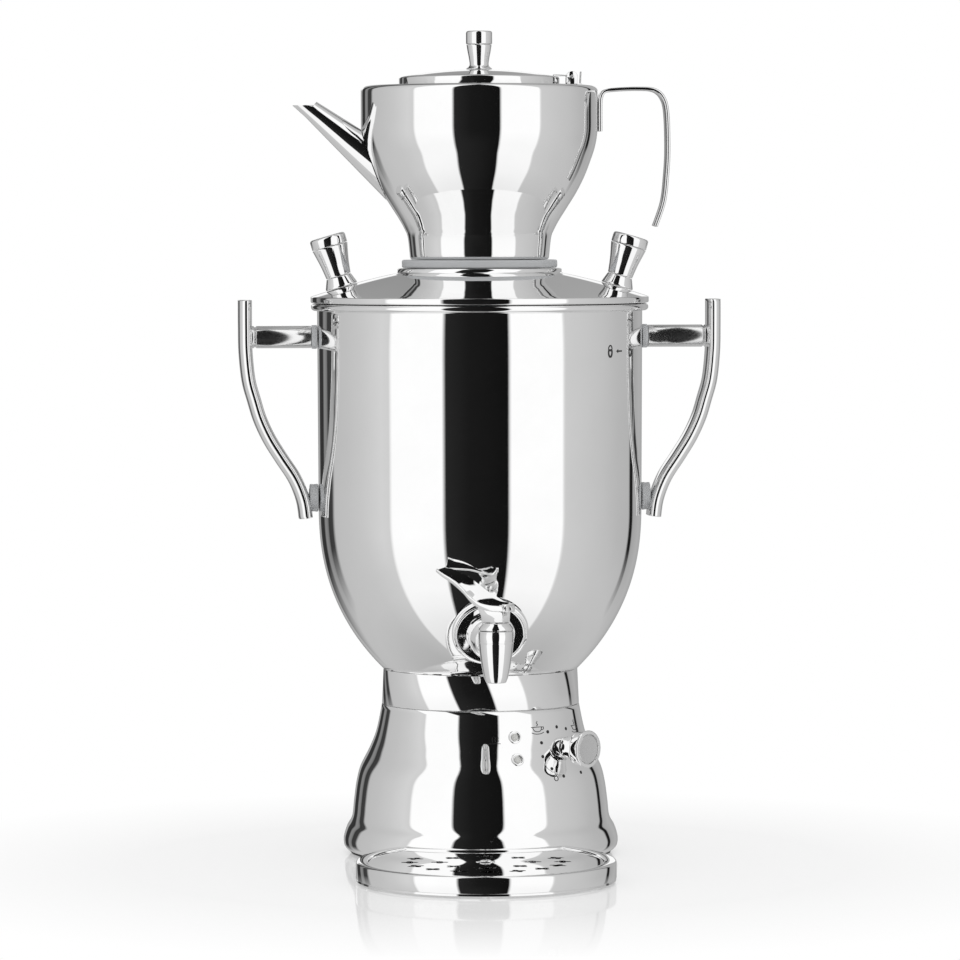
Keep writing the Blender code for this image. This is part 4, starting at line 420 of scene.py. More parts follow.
polish, taken, given, place = effect_group(
    "polish_haze", [("Sharpest", 0.03), ("Haziest", 0.09), ("Smudge Scale", 28.0), ("Waviness", 0.02)]
)
stretched = polish.nodes.new("ShaderNodeMapping")
stretched.inputs["Scale"].default_value = LINE_STRETCH
polish.links.new(place, stretched.inputs["Vector"])
smudge = noise(polish, place, taken["Smudge Scale"], 4.0, 0.6)
lines = noise(polish, stretched.outputs[0], LINE_SCALE, 2.0)
seen = math_node(polish, "SUBTRACT", smudge, SMUDGE_START)
cloudy = math_node(polish, "MULTIPLY", seen, SMUDGE_GAIN, clamp=True)
polish.links.new(mixed(polish, cloudy, taken["Sharpest"], taken["Haziest"]), given["Roughness"])
polish.links.new(relief(polish, lines, taken["Waviness"], RIPPLE_HEIGHT), given["Normal"])
polish.links.new(mixed(polish, cloudy, 1.0, SMUDGE_TONE), given["Tone"])

grain, taken, given, place = effect_group(
    "moulded_grain", [("Grain Scale", 900.0), ("Depth", 0.25), ("Smooth", 0.45), ("Rough", 0.6)]
)
pits = noise(grain, place, taken["Grain Scale"], 2.0)
dust = noise(grain, place, DUST_SCALE, 5.0, 0.65)
grain.links.new(mixed(grain, pits, taken["Smooth"], taken["Rough"]), given["Roughness"])
grain.links.new(relief(grain, pits, taken["Depth"], PIT_DEPTH), given["Normal"])
grain.links.new(mixed(grain, dust, DUST_TONE, 1.0), given["Tone"])
print("effects", [g.name for g in bpy.data.node_groups])

# %% [markdown]
# Each finish is one Principled material that takes its roughness, relief and tone from a shared effect.
# The tone only darkens the colour a touch where the surface is cloudy, as a thumb print does.

# %% Finishes
BLACK = (0, 0, 0, 1)
slot_of = {}


def finish(name, slot, colour, metallic, group, **settings):
    """A Principled material of one colour, with a shared effect for its surface."""
    made = bpy.data.materials.new(name)
    made.use_nodes = True
    tree = made.node_tree
    shader = tree.nodes["Principled BSDF"]
    shader.inputs["Metallic"].default_value = metallic
    surface = tree.nodes.new("ShaderNodeGroup")
    surface.node_tree = group
    for label, value in settings.items():
        surface.inputs[label.replace("_", " ").title()].default_value = value
    shade = mix_node(tree, surface.outputs["Tone"], BLACK, (*colour, 1))
    tree.links.new(shade, shader.inputs["Base Color"])
    tree.links.new(surface.outputs["Roughness"], shader.inputs["Roughness"])
    tree.links.new(surface.outputs["Normal"], shader.inputs["Normal"])
    slot_of[name] = slot
    return made


def steel(name, grey, slot="polished_steel", **settings):
    """A polished metal of one grey."""
    return finish(name, slot, (grey, grey, grey), 1.0, polish, **settings)


def moulded(name, slot, colour, metallic=0.0, **settings):
    """A moulded or cast material."""
    return finish(name, slot, colour, metallic, grain, **settings)


mirror_steel = steel("mirror_steel", 0.95, sharpest=0.015, haziest=0.05, waviness=0.006)
small_steel = steel("small_steel", 0.94, sharpest=0.03, haziest=0.08, waviness=0.010)
brushed_steel = steel("brushed_steel", 0.90, sharpest=0.13, haziest=0.20, waviness=0.02)
satin_steel = steel("satin_steel_part", 0.72, "satin_steel", sharpest=0.26, haziest=0.36, waviness=0.15)
CAST_GREY = (0.50, 0.50, 0.49)
SILICONE_GREY = (0.50, 0.51, 0.52)
PLASTIC_BLACK = (0.02, 0.02, 0.02)
RUBBER_BLACK = (0.025, 0.025, 0.025)
LENS_GREY = (0.62, 0.62, 0.60)
cast_plate = moulded(
    "cast_plate", "cast_aluminium", CAST_GREY, 1.0, grain_scale=500.0, depth=0.7, smooth=0.4, rough=0.6
)
grey_silicone = moulded(
    "grey_silicone_ring", "grey_silicone", SILICONE_GREY, depth=0.15, smooth=0.42, rough=0.55
)
black_plastic = moulded(
    "black_plastic_plate", "black_plastic", PLASTIC_BLACK, depth=0.35, smooth=0.4, rough=0.55
)
black_rubber = moulded("black_rubber_foot", "black_rubber", RUBBER_BLACK, depth=0.3, smooth=0.6, rough=0.8)
lamp_plastic = moulded("lamp_plastic", "lamp_lens", LENS_GREY, depth=0.05, smooth=0.08, rough=0.16)

in_slot = {slot_of[made.name]: made for made in (
    small_steel, satin_steel, cast_plate, grey_silicone, black_plastic, black_rubber, lamp_plastic
)}
for part in frame["record"]["subparts"]:
    node = frame["nodes"][part["node"]]
    node.data.materials.clear()
    node.data.materials.append(in_slot[part["material_slot"]])


def dress(piece, material):
    """Gives a new piece its finish."""
    piece.data.materials.clear()
    piece.data.materials.append(material)
    return piece


print(len(frame["nodes"]), "CAD pieces have a finish")

# %% [markdown]
# The base is a drawn steel bell with a rolled foot, and a short conical collar that carries the tank. Both
# could be kept from the CAD part, but a mirror shows each flat of a turned mesh, so they are spun afresh
# with many more steps. The bell's outline is a flowing line through the heights where its slope changes.

# %% Bell and collar
BELL_RADIUS = 0.0769
BELL_LOW = 0.0024
BELL_HEIGHT = 0.0816
BELL_SHARES = [
    (0.970, 0.000), (0.992, 0.022), (1.000, 0.054), (0.996, 0.097), (0.974, 0.159), (0.938, 0.225),
    (0.924, 0.335), (0.906, 0.461), (0.876, 0.570), (0.810, 0.694), (0.758, 0.820), (0.718, 1.000),
]
COLLAR_LOW = 0.0843
COLLAR_TOP = 0.1037
COLLAR_RADII = (0.0552, 0.0543)
SPIGOT_RADIUS = 0.0539
SPIGOT_DEPTH = 0.0060

bell_wall = flow([(r * BELL_RADIUS, BELL_LOW + z * BELL_HEIGHT) for r, z in BELL_SHARES], 5)
bell = turned("bell", bell_wall + inward(bell_wall, SHEET)[::-1] + bell_wall[:1], "samovar", ["base_shell"])
dress(bell, mirror_steel)

collar_ring = [
    (SPIGOT_RADIUS, COLLAR_LOW - SPIGOT_DEPTH),
    (SPIGOT_RADIUS, COLLAR_LOW),
    (COLLAR_RADII[0], COLLAR_LOW),
    (COLLAR_RADII[1], COLLAR_TOP),
    (COLLAR_RADII[1] - SHEET, COLLAR_TOP),
    (SPIGOT_RADIUS - SHEET, COLLAR_LOW),
    (SPIGOT_RADIUS - SHEET, COLLAR_LOW - SPIGOT_DEPTH),
]
collar = turned("neck_collar", collar_ring + collar_ring[:1], "samovar", ["base_collar"])
dress(collar, mirror_steel)

# %% [markdown]
# The tank is one deep drawing: a round bowl that runs without a seam into a nearly straight wall, with its
# edge rolled over into a bead. A superellipse gives the bowl, fuller than a circle, and its curve dies out
# exactly where the wall begins, so reflections run from bowl to wall without a kink.

# %% Tank
TANK_RADIUS = 0.0903
TANK_TOP_RADIUS = 0.0908
TANK_TOP = 0.3080
TANK_FLOOR = 0.1007
TANK_STEPS = 160
TANK_SEAT = 0.0527
BOWL_LOW = 0.1040
BOWL_TOP = 0.1947
BOWL_DEPTH = 0.1220
BOWL_POWER = 2.3
BOWL_ROUND = 1.4
BEAD = 0.0020
RIM_RADIUS = 0.0942


def bowl_radius(height):
    """The tank's radius in the bowl."""
    share = max(0.0, (BOWL_TOP - height) / BOWL_DEPTH)
    return TANK_RADIUS * (1 - share**BOWL_POWER) ** (1 / BOWL_ROUND)


def tank_wall(steps=36):
    """The outer wall from the collar up to just below the bead."""
    heights = [BOWL_LOW + (BOWL_TOP - BOWL_LOW) * i / steps for i in range(steps)]
    top = TANK_TOP - 2 * BEAD
    upright = []
    for share in (0, 0.3, 0.7, 1):
        radius = TANK_RADIUS + (TANK_TOP_RADIUS - TANK_RADIUS) * share
        upright.append((radius, BOWL_TOP + (top - BOWL_TOP) * share))
    return [(bowl_radius(z), z) for z in heights] + upright


wall = tank_wall()
bead = bow((RIM_RADIUS - BEAD, TANK_TOP - BEAD), BEAD, -150, 90, 14)
tank_shell = [
    (0, TANK_FLOOR), (TANK_SEAT - SHEET, TANK_FLOOR), (TANK_SEAT, TANK_FLOOR + SHEET), (TANK_SEAT, BOWL_LOW),
]
tank_shell += wall + bead + [(TANK_TOP_RADIUS - SHEET, TANK_TOP)] + inward(wall, SHEET)[::-1]
tank_shell += [
    (TANK_SEAT - SHEET, BOWL_LOW - SHEET), (TANK_SEAT - 2 * SHEET, TANK_FLOOR + SHEET),
    (0, TANK_FLOOR + SHEET),
]
tank = turned("tank_shell", tank_shell, "samovar", ["tank"], steps=TANK_STEPS, edge=0)
dress(tank, mirror_steel)

# %% [markdown]
# Three short catches inside the tank's rim hold the lid's tabs once it is turned, as on a bayonet. Each
# catch and each tab is a small rectangle swept part of the way round the axis. The tabs stand turned
# back from the catches, since the lid is closed but not locked.

# %% Lid catches and tabs
CATCH_TOP = 0.2945
CATCH_HEIGHT = 0.0025
CATCH_LAP = 0.0018
TAB_TOP = 0.2916
TAB_REACH = 0.0888
SKIRT_RADIUS = 0.0862
LOCK_TURN = math.radians(26)
CATCH_ANGLE = math.radians(18)
TAB_ANGLE = math.radians(16)


def swept_block(name, inner, outer, low, high, start, sweep, body, steps=10):
    """A rectangle between two radii and two heights, swept about the axis from a direction."""
    bpy.ops.object.select_all(action="DESELECT")
    bpy.ops.mesh.primitive_plane_add(size=1)
    piece = bpy.context.object
    piece.name = name
    corners = [(inner, low), (outer, low), (outer, high), (inner, high)]
    for corner, i in zip(piece.data.vertices, (0, 1, 3, 2)):
        corner.co = (corners[i][0] * math.cos(start), corners[i][0] * math.sin(start), corners[i][1])
    bpy.ops.object.mode_set(mode="EDIT")
    bpy.ops.mesh.select_all(action="SELECT")
    bpy.ops.mesh.spin(steps=steps, angle=sweep, center=(0, 0, 0), axis=(0, 0, 1))
    bpy.ops.object.mode_set(mode="OBJECT")
    finish_mesh(piece, EDGE, 2)
    settle(piece, AXIS)
    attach(piece, body)
    return dress(piece, small_steel)


for i in range(3):
    towards = math.tau * i / 3 + math.pi / 2
    reach = TANK_TOP_RADIUS - SHEET
    swept_block(
        f"tank_catch_{i + 1}", reach - CATCH_LAP, reach + SHEET / 2, CATCH_TOP - CATCH_HEIGHT, CATCH_TOP,
        towards - CATCH_ANGLE / 2, CATCH_ANGLE, "samovar",
    )
    swept_block(
        f"lid_lock_tab_{i + 1}", SKIRT_RADIUS - SHEET / 2, TAB_REACH, TAB_TOP - CATCH_HEIGHT, TAB_TOP,
        towards - LOCK_TURN - TAB_ANGLE / 2, TAB_ANGLE, "lid",
    )
print("three catches and three tabs")

# %% [markdown]
# The lid is a pressed cone with a hardly visible crown, a rounded outer hem and a raised flat boss that
# holds the teapot's ring. It has a skirt inside the tank. The seal and the ring are moulded silicone.

# %% Lid, seal and teapot ring
LID_RADIUS = 0.0944
LID_LOW = 0.3083
LID_EDGE_TOP = 0.3119
LID_RISE = 0.0130
LID_CROWN = 0.0008
LID_ROUND = 0.0008
LID_HEM = 0.0029
BOSS_RADIUS = 0.0458
BOSS_TOP = 0.3275
HOLE_RADIUS = 0.0340
SEAL_TOP = 0.3106
SEAL_LIP = 0.0045
SEAL_PLAY = 0.0004
SEAT_GAP = 0.0003


def lid_height(radius):
    """The height of the lid's sloping top."""
    outer = LID_RADIUS - LID_ROUND
    share = (outer - radius) / (outer - BOSS_RADIUS)
    return LID_EDGE_TOP + share * LID_RISE + 4 * LID_CROWN * share * (1 - share)


outer = LID_RADIUS - LID_ROUND
slope_radii = [outer + (BOSS_RADIUS + LID_ROUND - outer) * i / 12 for i in range(13)]
lid_top = bow((outer, LID_LOW + LID_ROUND), LID_ROUND, -90, 0, 5)
lid_top += bow((outer, LID_EDGE_TOP - LID_ROUND), LID_ROUND, 0, 75, 5)
lid_top += [(r, lid_height(r)) for r in slope_radii[1:]]
lid_top += [(BOSS_RADIUS, lid_height(BOSS_RADIUS) + LID_ROUND / 2)]
lid_top += bow((BOSS_RADIUS - LID_ROUND, BOSS_TOP - LID_ROUND), LID_ROUND, 0, 90, 5)
boss_low = BOSS_TOP - SHEET
lid_under = [(HOLE_RADIUS, BOSS_TOP), (HOLE_RADIUS, boss_low), (BOSS_RADIUS - SHEET, boss_low)]
lid_under += [(r, lid_height(r) - SHEET) for r in slope_radii[::-1] if r < SKIRT_RADIUS - SHEET]
lid_under += [
    (SKIRT_RADIUS - SHEET, lid_height(SKIRT_RADIUS) - SHEET),
    (SKIRT_RADIUS - SHEET, TAB_TOP - CATCH_HEIGHT),
    (SKIRT_RADIUS, TAB_TOP - CATCH_HEIGHT),
    (SKIRT_RADIUS, SEAL_TOP + SEAT_GAP),
    (LID_RADIUS - LID_HEM, SEAL_TOP + SEAT_GAP),
    (LID_RADIUS - LID_HEM, LID_LOW),
]
lid = turned("lid_shell", lid_top + lid_under + lid_top[:1], "lid", ["lid"], edge=FINE_EDGE)
dress(lid, mirror_steel)

lip = TANK_TOP_RADIUS - SHEET - SEAL_PLAY
seal_ring = [
    (SKIRT_RADIUS + 2 * SEAT_GAP, LID_LOW), (lip - SHEET, LID_LOW), (lip - SHEET, LID_LOW - SEAL_LIP),
    (lip, LID_LOW - SEAL_LIP), (lip, LID_LOW), (LID_RADIUS - LID_HEM - 2 * SEAT_GAP, LID_LOW),
    (LID_RADIUS - LID_HEM - 2 * SEAT_GAP, SEAL_TOP), (SKIRT_RADIUS + 2 * SEAT_GAP, SEAL_TOP),
]
seal = turned("lid_gasket", seal_ring + seal_ring[:1], "lid_seal", ["lid_seal"])
dress(seal, grey_silicone)

RING_RADIUS = 0.0434
RING_LOW = 0.3278
RING_TOP = 0.3322
RING_WALL = 0.0030
RING_ROUND = 0.0010
RING_LIP = 0.0018
neck = HOLE_RADIUS - SEAT_GAP
rest = [(neck - RING_WALL, boss_low - RING_LIP), (neck, boss_low - RING_LIP), (neck, RING_LOW)]
rest += bow((RING_RADIUS - RING_ROUND, RING_LOW + RING_ROUND), RING_ROUND, -90, 0, 5)
rest += bow((RING_RADIUS - RING_ROUND, RING_TOP - RING_ROUND), RING_ROUND, 0, 90, 5)
rest += bow((neck - RING_WALL + RING_ROUND, RING_TOP - RING_ROUND), RING_ROUND, 90, 180, 5)
ring = turned("teapot_rest", rest + rest[:1], "lid", ["rest_ring"], edge=HAIR_EDGE)
dress(ring, grey_silicone)

# %% [markdown]
# Each lid knob is turned from bar in three pieces that screw together: a flared collar, a body that widens
# upwards, and a cap with a soft edge. They stand square to the lid's slope, so they lean outwards.

# %% Lid knobs
KNOB_CIRCLE = 0.0770
COLLAR_RADIUS = 0.0090
COLLAR_HEIGHT = 0.0059
WAIST_RADIUS = 0.0070
GRIP_HEIGHT = 0.0170
GRIP_RADIUS = 0.0101
CAP_HEIGHT = 0.0057
CAP_ROUND = 0.0014
SWELL_RADIUS = 0.0081
SWELL_SHARE = 0.45
COLLAR_LIP = 0.0007
COLLAR_FLARE = 0.0031

slope = math.atan2(lid_height(KNOB_CIRCLE - SHEET) - lid_height(KNOB_CIRCLE), SHEET)
grip_low = SEAT_GAP + COLLAR_HEIGHT + SEAT_GAP
cap_low = grip_low + GRIP_HEIGHT + SEAT_GAP
cap_top = cap_low + CAP_HEIGHT
collar_line = [(0, SEAT_GAP), (COLLAR_RADIUS, SEAT_GAP)]
collar_top = grip_low - SEAT_GAP
collar_line += flow([
    (COLLAR_RADIUS, SEAT_GAP + COLLAR_LIP), (SWELL_RADIUS, SEAT_GAP + COLLAR_FLARE),
    (WAIST_RADIUS, collar_top),
], 5)
collar_line += [(0, collar_top)]
grip_line = [(0, grip_low)]
grip_top = grip_low + GRIP_HEIGHT
grip_line += flow([
    (WAIST_RADIUS, grip_low), (SWELL_RADIUS, grip_low + GRIP_HEIGHT * SWELL_SHARE), (GRIP_RADIUS, grip_top),
], 8)
grip_line += [(0, grip_top)]
cap_line = [(0, cap_low), (GRIP_RADIUS, cap_low)]
cap_line += bow((GRIP_RADIUS - CAP_ROUND, cap_top - CAP_ROUND), CAP_ROUND, 0, 90, 7) + [(0, cap_top)]
for word, side in (("left", -1), ("right", 1)):
    spot = AXIS + Vector((side * KNOB_CIRCLE, 0, lid_height(KNOB_CIRCLE)))
    for part, line in (("collar", collar_line), ("body", grip_line), ("cap", cap_line)):
        node = f"lid_knob_{part}_{word}"
        knob = turned(f"lid_grip_{part}_{word}", line, "lid", [node], spot, (0, side * slope, 0), FINE)
        dress(knob, small_steel)

# %% [markdown]
# The teapot is a wide cup on a narrow foot, with its shoulder folded in under the lid. Its outline has a
# soft waist just above the foot, which the flowing line draws through. The lid is a shallow dome with an
# upright edge, and its knob is turned in two pieces.

# %% Teapot body and lid
POT_RADIUS = 0.0660
POT_LOW = 0.3325
POT_HEIGHT = 0.0964
POT_SHARES = [
    (0.588, 0.012), (0.606, 0.124), (0.632, 0.172), (0.676, 0.228), (0.737, 0.294), (0.817, 0.382),
    (0.886, 0.475), (0.942, 0.574), (0.979, 0.654), (0.998, 0.738), (1.000, 0.850), (1.000, 0.960),
]
SHOULDER_ROUND = 0.0030
NECK_RADIUS = 0.0420
NECK_HEIGHT = 0.0028
FOOT_RISE = 0.0016
LID_EDGE_RADIUS = 0.0447
LID_EDGE_HEIGHT = 0.0046
LID_EDGE_ROUND = 0.0008
LID_DOME = 0.0042
DOME_STEPS = 14

pot_top = POT_LOW + POT_HEIGHT
pot_wall = flow([(r * POT_RADIUS, POT_LOW + z * POT_HEIGHT) for r, z in POT_SHARES], 5)
pot_wall += bow((POT_RADIUS - SHOULDER_ROUND, pot_top - SHOULDER_ROUND), SHOULDER_ROUND, 10, 90, 7)
pot_foot = pot_wall[0][0]
pot_floor = POT_LOW + FOOT_RISE
neck_top = pot_top + NECK_HEIGHT
pot_shell = [(0, pot_floor), (pot_foot - 3 * SHEET, pot_floor), (pot_foot - 2 * SHEET, POT_LOW)]
pot_shell += [(pot_foot - SHEET / 2, POT_LOW)] + pot_wall
pot_shell += [(NECK_RADIUS, pot_top), (NECK_RADIUS, neck_top), (NECK_RADIUS - SHEET, neck_top)]
pot_shell += [(NECK_RADIUS - SHEET, pot_top - SHEET)] + inward(pot_wall, SHEET)[-6:3:-1]
pot_shell += [(pot_foot - SHEET, pot_floor + SHEET), (0, pot_floor + SHEET)]
pot = turned("teapot_shell", pot_shell, "teapot", ["teapot_body"], edge=FINE_EDGE)
dress(pot, mirror_steel)

lid_low = pot_top + SEAT_GAP
lid_edge = lid_low + LID_EDGE_HEIGHT
dome_reach = LID_EDGE_RADIUS - LID_EDGE_ROUND - HAIR_EDGE
dome_radii = [dome_reach * (1 - i / DOME_STEPS) for i in range(DOME_STEPS + 1)]


def dome_height(radius):
    """The height of the teapot lid's dome."""
    return lid_edge + LID_DOME * (1 - (radius / LID_EDGE_RADIUS) ** 2)


dome = [(LID_EDGE_RADIUS, lid_low)]
dome += bow((LID_EDGE_RADIUS - LID_EDGE_ROUND, lid_edge - LID_EDGE_ROUND), LID_EDGE_ROUND, 0, 78, 6)
dome += [(r, dome_height(r)) for r in dome_radii]
dome += [(r, dome_height(r) - SHEET) for r in dome_radii[::-1] if r < LID_EDGE_RADIUS - 2 * SHEET]
dome += [(LID_EDGE_RADIUS - SHEET, lid_edge - SHEET), (LID_EDGE_RADIUS - SHEET, lid_low)]
dome += [(LID_EDGE_RADIUS, lid_low)]
pot_lid = turned("teapot_lid_dome", dome, "teapot_lid", ["teapot_lid"], edge=HAIR_EDGE)
dress(pot_lid, mirror_steel)

STEM_FOOT = 0.0073
STEM_TALL = 0.0135
STEM_CURVE = [
    (0.0072, 0.0003), (0.0057, 0.0016), (0.0053, 0.0030), (0.0057, 0.0060), (0.0064, 0.0096),
    (0.0070, STEM_TALL),
]
BUTTON_RADIUS = 0.0073
BUTTON_CHAMFER = (0.0003, 0.0004)
BUTTON_ROUND = 0.0011
BUTTON_TALL = 0.0074

stem = dome_height(0) + SEAT_GAP
stem_line = [(0, stem), (STEM_FOOT, stem)] + flow([(r, stem + z) for r, z in STEM_CURVE], 5)
stem_line += [(0, stem + STEM_TALL)]
button = stem + STEM_TALL + SEAT_GAP
shy, up = BUTTON_CHAMFER
button_line = [(0, button), (BUTTON_RADIUS - shy, button), (BUTTON_RADIUS, button + up)]
button_round = (BUTTON_RADIUS - BUTTON_ROUND, button + BUTTON_TALL - BUTTON_ROUND)
button_line += bow(button_round, BUTTON_ROUND, 0, 90, 7)
button_line += [(0, button + BUTTON_TALL)]
for name, line, node in (("stem", stem_line, "teapot_knob_body"), ("button", button_line, "teapot_knob_cap")):
    knob = turned(f"teapot_knob_{name}", line, "teapot_lid", [node], steps=FINE, edge=HAIR_EDGE)
    dress(knob, small_steel)

# %% [markdown]
# The bars, the spout and the tap's arm aren't turned but drawn along a path. Such a piece is a skin over
# rings of points, the way a boat's planks lie over its frames. Each ring becomes one row of the mesh, and
# quads join it to the next. The first and the last ring are closed, unless the piece is a closed tube.

# %% Skin over rings
def planked(name, rings, closed=False):
    """A loose object whose mesh is a skin over rings of points, all with the same number of points."""
    mesh = bmesh.new()
    rows = [[mesh.verts.new(point) for point in ring] for ring in rings]
    pairs = zip(rows, rows[1:] + rows[:1]) if closed else zip(rows, rows[1:])
    for low, high in pairs:
        for i in range(len(low)):
            mesh.faces.new((low[i - 1], low[i], high[i], high[i - 1]))
    if not closed:
        mesh.faces.new(rows[0])
        mesh.faces.new(rows[-1])
    data = bpy.data.meshes.new(name)
    mesh.to_mesh(data)
    mesh.free()
    piece = bpy.data.objects.new(name, data)
    bpy.context.scene.collection.objects.link(piece)
    return piece


def skinned(
    name, rings, body, stands_for=(), edge=EDGE, segments=3, lean=(0, 0, 0), place=AXIS, closed=False
):
    """A solid through rings of points that rides on a body."""
    piece = finish_mesh(planked(name, rings, closed), edge, segments)
    settle(piece, place, lean)
    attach(piece, body)
    if stands_for:
        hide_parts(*stands_for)
    print(name, len(piece.data.polygons), "faces")
    return piece


def outwards(path):
    """The sideways direction at each point of a path in the (x, z) plane, to the right of its run."""
    sides = []
    last = len(path) - 1
    for i in range(len(path)):
        along = Vector(path[min(i + 1, last)]) - Vector(path[max(i - 1, 0)])
        along.normalize()
        sides.append((along[1], -along[0]))
    return sides


def reach_at(path, height):
    """How far out a rising or falling (reach, height) path is at a height."""
    for (r0, z0), (r1, z1) in zip(path, path[1:]):
        if min(z0, z1) <= height <= max(z0, z1) and z0 != z1:
            return r0 + (r1 - r0) * (height - z0) / (z1 - z0)
    return path[-1][0]

# %% [markdown]
# Each side handle is a flat bar bent to a long S, with its edges drawn out to a soft nose. Across the bar
# the outer face is full and the inner face is flatter, so the front edge shows the thin lines of light and
# dark that run down the photograph's handles. Its two ends are sawn square and only slightly broken.

# %% Side handles
HANDLE_TOP = 0.3100
HANDLE_DROP = 0.1220
HANDLE_REACH = 0.13499
HANDLE_FOOT = 0.1015
HANDLE_WIDTH = 0.0220
HANDLE_FULL = 0.0078
HANDLE_NOSE = 0.0047
NOSE_POWER = 0.55
HANDLE_SHARES = [
    (1.000, 0.000), (1.000, 0.120), (0.992, 0.240), (0.943, 0.370), (0.851, 0.465), (0.750, 0.555),
    (0.593, 0.648), (0.391, 0.738), (0.174, 0.830), (0.045, 0.920), (0.000, 1.000),
]

handle_path = flow([
    (HANDLE_FOOT + out * (HANDLE_REACH - HANDLE_FOOT), HANDLE_TOP - down * HANDLE_DROP)
    for out, down in HANDLE_SHARES
])


def nose_section(steps=52):
    """The bar's section as (depth behind the outer face, sideways) points."""
    section = []
    for i in range(steps):
        turn = math.tau * i / steps
        deep = math.sin(turn)
        wide = math.copysign(abs(math.cos(turn)) ** NOSE_POWER, math.cos(turn))
        side_depth = HANDLE_NOSE if deep > 0 else HANDLE_FULL - HANDLE_NOSE
        section.append((HANDLE_NOSE - deep * side_depth, wide * HANDLE_WIDTH / 2))
    return section


bar = nose_section()
for word, side in (("left", -1), ("right", 1)):
    rings = []
    for (reach, height), (across, up) in zip(handle_path, outwards(handle_path)):
        rings.append([(side * (reach + across * depth), wide, height + up * depth) for depth, wide in bar])
    handle = skinned(f"side_handle_{word}", rings, "samovar", [f"handle_{word}"])
    dress(handle, mirror_steel)
print("handle section", len(bar), "points")

# %% [markdown]
# A round strut with a turned shoulder holds the top of each bar, seated on the tank through a grey ring.
# Below, a short grey spacer does the same. They run into the bar's inner face, so they end inside it.

# %% Struts, rings and spacers
STRUT_Z = 0.2894
STRUT_RADIUS = 0.0062
STRUT_SHOULDER = 0.0056
STRUT_COLLAR = 0.0024
STRUT_RING_RADIUS = 0.0066
STRUT_RING_LENGTH = 0.0030
SPACER_Z = 0.1996
SPACER_RADIUS = 0.0078


def upper_radius(height):
    """The tank's radius at a height above the bowl."""
    return TANK_RADIUS + (TANK_TOP_RADIUS - TANK_RADIUS) * (height - BOWL_TOP) / (TANK_TOP - BOWL_TOP)


ring_start = upper_radius(STRUT_Z) + SEAT_GAP
strut_start = ring_start + STRUT_RING_LENGTH + SEAT_GAP
strut_end = reach_at(handle_path, STRUT_Z) - HANDLE_FULL + SHEET
spacer_end = reach_at(handle_path, SPACER_Z) - HANDLE_FULL + SHEET / 2
shoulder = strut_end - STRUT_COLLAR
ring_end = strut_start - SEAT_GAP
ring_line = [(0, ring_start), (STRUT_RING_RADIUS, ring_start), (STRUT_RING_RADIUS, ring_end), (0, ring_end)]
strut_line = [
    (0, strut_start), (STRUT_RADIUS, strut_start), (STRUT_RADIUS, shoulder - SHEET),
    (STRUT_SHOULDER, shoulder - SHEET / 2), (STRUT_SHOULDER, shoulder), (STRUT_RADIUS, shoulder + SHEET / 2),
    (STRUT_RADIUS, strut_end), (0, strut_end),
]
spacer_start = TANK_RADIUS + SEAT_GAP
spacer_slim = SPACER_RADIUS - SHEET / 4
spacer_line = [
    (0, spacer_start), (spacer_slim, spacer_start), (SPACER_RADIUS, TANK_RADIUS + SHEET),
    (spacer_slim, (TANK_RADIUS + spacer_end) / 2), (SPACER_RADIUS, spacer_end - SHEET), (0, spacer_end),
]
STRUT_PIECES = [
    ("strut_washer", ring_line, "strut_ring", STRUT_Z, grey_silicone, 0.0004),
    ("strut", strut_line, "handle_strut", STRUT_Z, brushed_steel, FINE_EDGE),
    ("foot_spacer", spacer_line, "lower_spacer", SPACER_Z, grey_silicone, 0.0005),
]
for word, side in (("left", -1), ("right", 1)):
    lean = (0, side * math.pi / 2, 0)
    for name, line, node, height, material, edge in STRUT_PIECES:
        spot = AXIS + Vector((0, 0, height))
        piece = turned(f"{name}_{word}", line, "samovar", [f"{node}_{word}"], spot, lean, FINE, edge)
        dress(piece, material)

# %% [markdown]
# The spout is a straight tapered tube. It grows out of the pot's wall, with its foot trimmed to the wall by
# a Boolean against the pot's own turned outline, and its tip is cut level with a small rolled lip.

# %% Teapot spout
SPOUT_ROOT_REACH = 0.0376
SPOUT_ROOT_RISE = 0.0381
SPOUT_TIP_REACH = 0.0970
SPOUT_TIP_RISE = 0.0860
SPOUT_ROOT_RADIUS = 0.0140
SPOUT_TIP_RADIUS = 0.0048
SPOUT_CREASE = math.radians(40)

run = SPOUT_TIP_REACH - SPOUT_ROOT_REACH
rise = SPOUT_TIP_RISE - SPOUT_ROOT_RISE
length = math.hypot(run, rise)
spout_axis = Vector((-run, 0, rise)) / length


def spout_ring(share, inset=0.0, level=False, steps=48):
    """A ring of the spout at a share of its length, square to it or cut level."""
    middle = Vector((-SPOUT_ROOT_REACH, 0, SPOUT_ROOT_RISE)) + spout_axis * (length * share)
    radius = SPOUT_ROOT_RADIUS + (SPOUT_TIP_RADIUS - SPOUT_ROOT_RADIUS) * share - inset
    across = Vector((-spout_axis.z, 0, spout_axis.x))
    ring = []
    for i in range(steps):
        turn = math.tau * i / steps
        point = middle + across * (radius * math.cos(turn)) + Vector((0, radius * math.sin(turn), 0))
        if level:
            point += spout_axis * ((SPOUT_TIP_RISE - level * SHEET / 4 - point.z) / spout_axis.z)
        ring.append(point + Vector((0, 0, POT_LOW)))
    return ring


def cut_away(piece, cutter, name):
    """Cuts a loose shape out of a piece, and removes the shape."""
    only(piece)
    cut = piece.modifiers.new(name, "BOOLEAN")
    cut.object = cutter
    cut.operation = "DIFFERENCE"
    cut.solver = "EXACT"
    bpy.ops.object.modifier_apply(modifier=cut.name)
    bpy.data.objects.remove(cutter)


